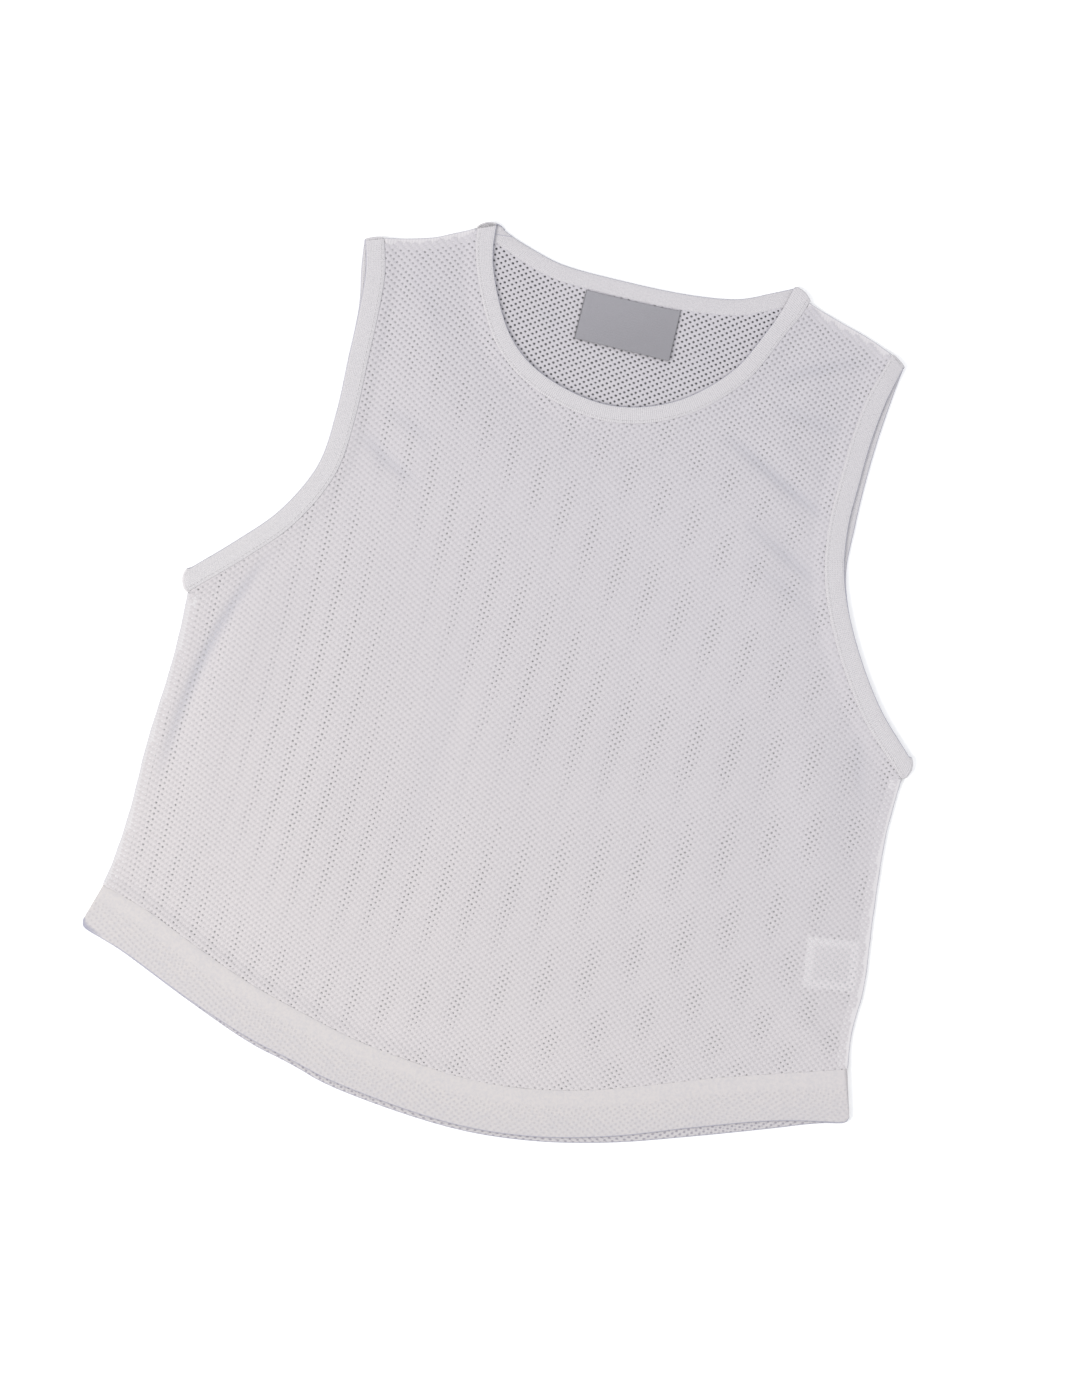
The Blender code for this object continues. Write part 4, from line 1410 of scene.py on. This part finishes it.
def seam_finish(name):
    """Overlocked seam edge, dense and pale, with slanting thread loops and painted shade along its
    outer edge.
    """
    f = Finish(name, 0.8)
    along, across = f.map("Strip")
    loops = ((along / 1.9 + across * 0.12) * FULL_TURN).cosine()
    fuzz = f.noise(f.place(), SEAM_FUZZ, 3.0)
    # Painted light: warmer at the lower left, cooler at the upper right
    base = f.blend(painted_light_across(f), TAPE_WARM, TAPE_COOL)
    base = f.blend((fuzz - 0.5) * 0.4 + loops * 0.03 + 0.05, base, KNIT_SHADE)
    # Painted shade along the roll's outer edge
    fold = 1.0 - across.rise(-0.45, 0.1)
    colour = f.blend(fold * 0.6, base, EDGE_SHADE_AND_JOIN)
    return f.done(colour, loops * 0.25 + fuzz * 0.5, SEAM_RELIEF)


def thread_finish(name):
    """White sewing thread with a slight twist."""
    f = Finish(name, 0.55)
    along, across = f.map("Strip")
    twist = ((along * 1.6 + across * 3.0) * FULL_TURN).cosine()
    colour = f.blend(twist * 0.06 + 0.06, *THREAD)
    return f.done(colour, twist, FINE_RELIEF)


def satin_finish(name, light, dark, edge, size, rim):
    """Woven label satin: fine floats, a painted shade across it, darker cut edges and a turned rim.
    """
    f = Finish(name, 0.42)
    along, across = f.map("Strip")
    floats = ((along * 2.4 + (across * 1.9).fraction() * 0.5) * FULL_TURN).cosine()
    ribs = (across * 3.2 * FULL_TURN).cosine()
    fuzz = f.noise(f.place(), SATIN_FUZZ, 3.0)
    # Painted shade across the label, darker towards its lower right
    shade = (along / size[0] * 0.6 - across / size[1] * 0.5 + 0.45).rise(0.0, 1.0)
    base = f.blend(shade, light, dark)
    base = f.blend(floats * 0.04 + ribs * 0.04 + (fuzz - 0.5) * 0.2 + 0.04, base, edge)
    from_side = along.least(size[0] - along) + (fuzz - 0.5) * 0.5
    from_end = across.least(size[1] - across) + (fuzz - 0.5) * 0.5
    cut = (1.0 - from_side.rise(0.1, 0.75)).most(1.0 - from_end.rise(0.0, 0.5) - 0.3)
    inner = from_side.least(from_end).rise(rim, rim + 0.8)
    colour = f.blend(cut * 0.8, f.blend(inner * 0.25, base, dark), edge)
    f.cloth.inputs["Sheen Weight"].default_value = SATIN_SHEEN
    height = ribs * 0.4 + floats * 0.3 + fuzz * 0.3 - inner * 0.5
    return f.done(colour, height, SATIN_RELIEF)


def paper_finish(name, roughness, colours, grain_scale):
    """Plain paper with a faint grain."""
    f = Finish(name, roughness)
    grain = f.noise(f.place(), grain_scale, 2.0)
    f.done(f.blend(grain, *colours), grain, FINE_RELIEF, PAPER_STRENGTH)
    return f


def shade_sheet_finish():
    """Dull grey, the colour of the painted shade under the neck opening."""
    return paper_finish("grey_shade_sheet", 0.95, SHADE_SHEET, 90.0).material


def floor_finish():
    """Plain pale paper with a faint glow."""
    f = paper_finish("pale_floor", 0.9, FLOOR, 60.0)
    f.cloth.inputs["Emission Color"].default_value = (1.0, 1.0, 1.0, 1.0)
    f.cloth.inputs["Emission Strength"].default_value = FLOOR_GLOW
    return f.material


# --- Pieces ---


def sheets(neck, hems, arms, heights):
    """The front and the back, each one open mesh sheet, with the area inside its edge."""
    rules = {
        "front": (front_offset, heights.front, heights.front_shades),
        "back": (drift, heights.back, heights.back_shades),
    }
    made = {}
    for layer, share, hole_shade_share, painted_dimming, seed in SHEETS:
        reach = outline(*panel_edges(layer, neck[layer], hems[layer], arms, -TUCK, SEAM_CLEAR))
        piece = knitted_sheet(f"{layer}_mesh", reach, *rules[layer], share, seed)
        finish = mesh_finish(f"{layer}_mesh_knit", hole_shade_share, painted_dimming)
        made[layer] = dressed(piece, finish, "mesh", f"{layer}_panel"), area_of(reach) * MM * MM
    return made


def area_of(rim):
    """Area inside a closed line."""
    x, y = rim.T
    return abs(np.dot(x, np.roll(y, -1)) - np.dot(y, np.roll(x, -1))) / 2


def lay_tapes(neck, arms):
    """The three knit tapes. Gives the lines that their stitches follow."""
    lines = []
    openings = {"neck_tape": ("neck", neck, "neck_binding")}
    for side, arm in arms.items():
        openings[f"armhole_tape_{side}"] = ("armhole", arm, f"armhole_binding_{side}")
    for name, (kind, edges, node) in openings.items():
        *bulges, phase = row(TAPE_TURNS, kind)
        tape = Tape(edges["front"], edges["back"], bulges, phase)
        marks = {}
        if kind == "neck":
            marks["join"] = tape.along[-1] - TAPE_JOIN_BEFORE_END
            marks["soft_end"] = lengths_along(neck["front"][0])[-1]
        finish = tape_finish(f"{name}_knit", tape.width, **marks)
        piece = dressed(tape.piece(name), finish, "knit_tape", node)
        lines.append(tape.line("stitches"))
    return lines


def lay_hems(hems):
    """The two turned-up hems."""
    for layer, mid, wall, phase, dots, low_shade in HEMS:
        hem = Hem(hems[layer], mid, wall, phase)
        finish = hem_finish(f"{layer}_hem_knit", dots, low_shade)
        piece = dressed(hem.piece(f"{layer}_hem_cloth"), finish, "mesh_hem", f"{layer}_hem")


def neck_label(back_neck):
    """The grey woven label, held at its top edge, with its foot a little curled."""
    edge = past(*back_neck, SEAM_GAP)
    x = np.linspace(NECK_LABEL_LEFT, NECK_LABEL_RIGHT, NECK_LABEL_COLUMNS)
    top_y = np.interp(x, edge[:, 0], edge[:, 1]) - NECK_LABEL_SLACK
    share = np.linspace(0.0, 1.0, NECK_LABEL_ROWS)[:, None]
    spread_x = x[None] * (NECK_LABEL_SPREAD + (1.0 - NECK_LABEL_SPREAD) * share)
    y = NECK_LABEL_FOOT * (1.0 - share) + top_y[None] * share
    grid = np.stack(np.broadcast_arrays(spread_x, y), axis=2)
    curl = NECK_LABEL_CURL * ease(1.0 - share / NECK_LABEL_CURL_SHARE)
    waves = np.sin(x / NECK_LABEL_BEND_LENGTH + NECK_LABEL_BEND_PHASE)[None]
    bend = NECK_LABEL_BEND * waves * (1.0 - share)
    size = (NECK_LABEL_RIGHT - NECK_LABEL_LEFT, top_y.mean() - NECK_LABEL_FOOT)
    mid = LABEL_MID + (curl + bend).ravel()
    return slab("neck_label_cloth", grid, mid, LABEL_CLOTH, size), size


def care_label(front_height):
    """The white label close under the front, held by the right side seam."""
    c, s = math.cos(CARE_LABEL_TURN), math.sin(CARE_LABEL_TURN)
    x, y = (np.linspace(-0.5, 0.5, CARE_LABEL_ROWS) * size for size in CARE_LABEL_SIZE)
    across, along = np.meshgrid(x, y)
    grid = np.stack((c * across - s * along, s * across + c * along), axis=2)
    grid = grid + np.array(CARE_LABEL_MIDDLE)
    mid = front_height(grid.reshape(-1, 2)) - CARE_LABEL_UNDER
    return slab("care_label_cloth", grid, mid, CARE_LABEL_CLOTH, CARE_LABEL_SIZE)


def seams(edges, heights, finish):
    """The bands along the two side seams and the two shoulder seams."""
    _, right, top, left = edges
    lines = (
        ("side_seam_left", left[: SIDE_STEPS + 1], "left"),
        ("side_seam_right", right[: SIDE_STEPS + 1], "right"),
        ("shoulder_seam_left", top[: SHOULDER_STEPS + 1], "left"),
        ("shoulder_seam_right", top[::-1][: SHOULDER_STEPS + 1], "right"),
    )
    made = []
    for name, line, side in lines:
        piece = seam_band(name, line, side, heights.middle)
        made.append(dressed(piece, finish, "mesh"))
    return made


def lay_label(piece, size, shade, colours, rim, node):
    """Finishes a label."""
    finish = satin_finish(f"{shade}_satin", size=size, rim=rim, **colours)
    dressed(piece, finish, f"{shade}_label", node)
    [n * MM for n in size]


def lay_out():
    """Every piece of the bib."""
    neck = {
        "front": neck_edge(FRONT_NECK, NECK_STEPS),
        "back": neck_edge(BACK_NECK, BACK_NECK_STEPS),
    }
    hems = {"front": hem_edge(2), "back": hem_edge(3)}
    arms = {side: armhole(side) for side in ("left", "right")}
    edges = {name: panel_edges(name, neck[name], hems[name], arms) for name in ("front", "back")}
    heights = Heights(edges["front"], edges["back"])
    # Grey sheet of painted shade under the neck opening
    shade_sheet(np.vstack((neck["back"][1], neck["front"][1][::-1])))
    cloth = sheets(neck, hems, arms, heights)
    seam_pieces = seams(edges["front"], heights, seam_finish("overlocked_seam"))
    lines = lay_tapes(neck, arms)
    lay_hems(hems)
    thread = stitches("sewing_stitches", lines, STITCH_SEED)
    dressed(thread, thread_finish("white_thread"), "knit_tape")
    lay_label(*neck_label(neck["back"]), "grey", GREY_SATIN, NO_RIM, "neck_label")
    white = care_label(heights.front)
    lay_label(white, CARE_LABEL_SIZE, "white", WHITE_SATIN, WHITE_RIM, "care_label")


# --- Stage ---


def shade_sheet(rim):
    """A grey sheet of painted shade on the floor under the neck opening, seen through the holes of
    the back.
    """
    mesh = bpy.data.meshes.new("shade_sheet")
    points = with_height(rim, -SHADE_SHEET_DROP) * MM
    mesh.from_pydata(points.tolist(), [], [tuple(range(len(rim)))])
    made = bpy.data.objects.new("shade_sheet", mesh)
    made.data.materials.append(shade_sheet_finish())
    bpy.context.scene.collection.objects.link(made)


def on_the_photo(right, up, height):
    """A place given in metres to the right and up in the photograph, and over the surface."""
    c, s = math.cos(CAMERA_TURN), math.sin(CAMERA_TURN)
    x, y = (n * MM for n in CAMERA_OVER)
    return Vector((x + c * right - s * up, y + s * right + c * up, height))


def soft_light(name, right, up, height, size, power, colour):
    """A square studio light that faces the bib."""
    place = on_the_photo(right, up, height)
    light = bpy.data.lights.new(name, "AREA")
    light.size = size
    light.energy = power
    light.color = colour
    made = bpy.data.objects.new(name, light)
    made.location = place
    made.rotation_euler = (-place).to_track_quat("-Z", "Y").to_euler()
    bpy.context.scene.collection.objects.link(made)


def floor():
    """The pale floor under the bib."""
    corners = ((-1, -1), (1, -1), (1, 1), (-1, 1))
    points = [(x * FLOOR_HALF, y * FLOOR_HALF, -FLOOR_DROP) for x, y in corners]
    mesh = bpy.data.meshes.new("floor")
    mesh.from_pydata(points, [], [(0, 1, 2, 3)])
    made = bpy.data.objects.new("floor", mesh)
    made.data.materials.append(floor_finish())
    bpy.context.scene.collection.objects.link(made)


def daylight():
    """Soft daylight from all round."""
    world = bpy.data.worlds.new("soft_daylight")
    world.use_nodes = True
    sky = world.node_tree.nodes["Background"]
    sky.inputs["Color"].default_value = (*SKY_COLOUR, 1.0)
    sky.inputs["Strength"].default_value = SKY_STRENGTH
    bpy.context.scene.world = world


def camera():
    """The camera, straight above the bib and turned as in the photograph."""
    lens = bpy.data.cameras.new("camera")
    lens.lens = CAMERA_LENS
    lens.sensor_width = CAMERA_SENSOR
    lens.clip_start = CAMERA_NEAR
    lens.clip_end = CAMERA_FAR
    made = bpy.data.objects.new("camera", lens)
    made.location = on_the_photo(0.0, 0.0, FRAME_HEIGHT * MM * CAMERA_LENS / CAMERA_SENSOR)
    made.rotation_euler = (0.0, 0.0, CAMERA_TURN)
    bpy.context.scene.collection.objects.link(made)
    bpy.context.scene.camera = made


def set_stage():
    """Floor, light and camera."""
    floor()
    daylight()
    for light in LIGHTS:
        soft_light(*light)
    camera()
    bpy.context.scene.view_settings.view_transform = "Standard"


lay_out()
set_stage()
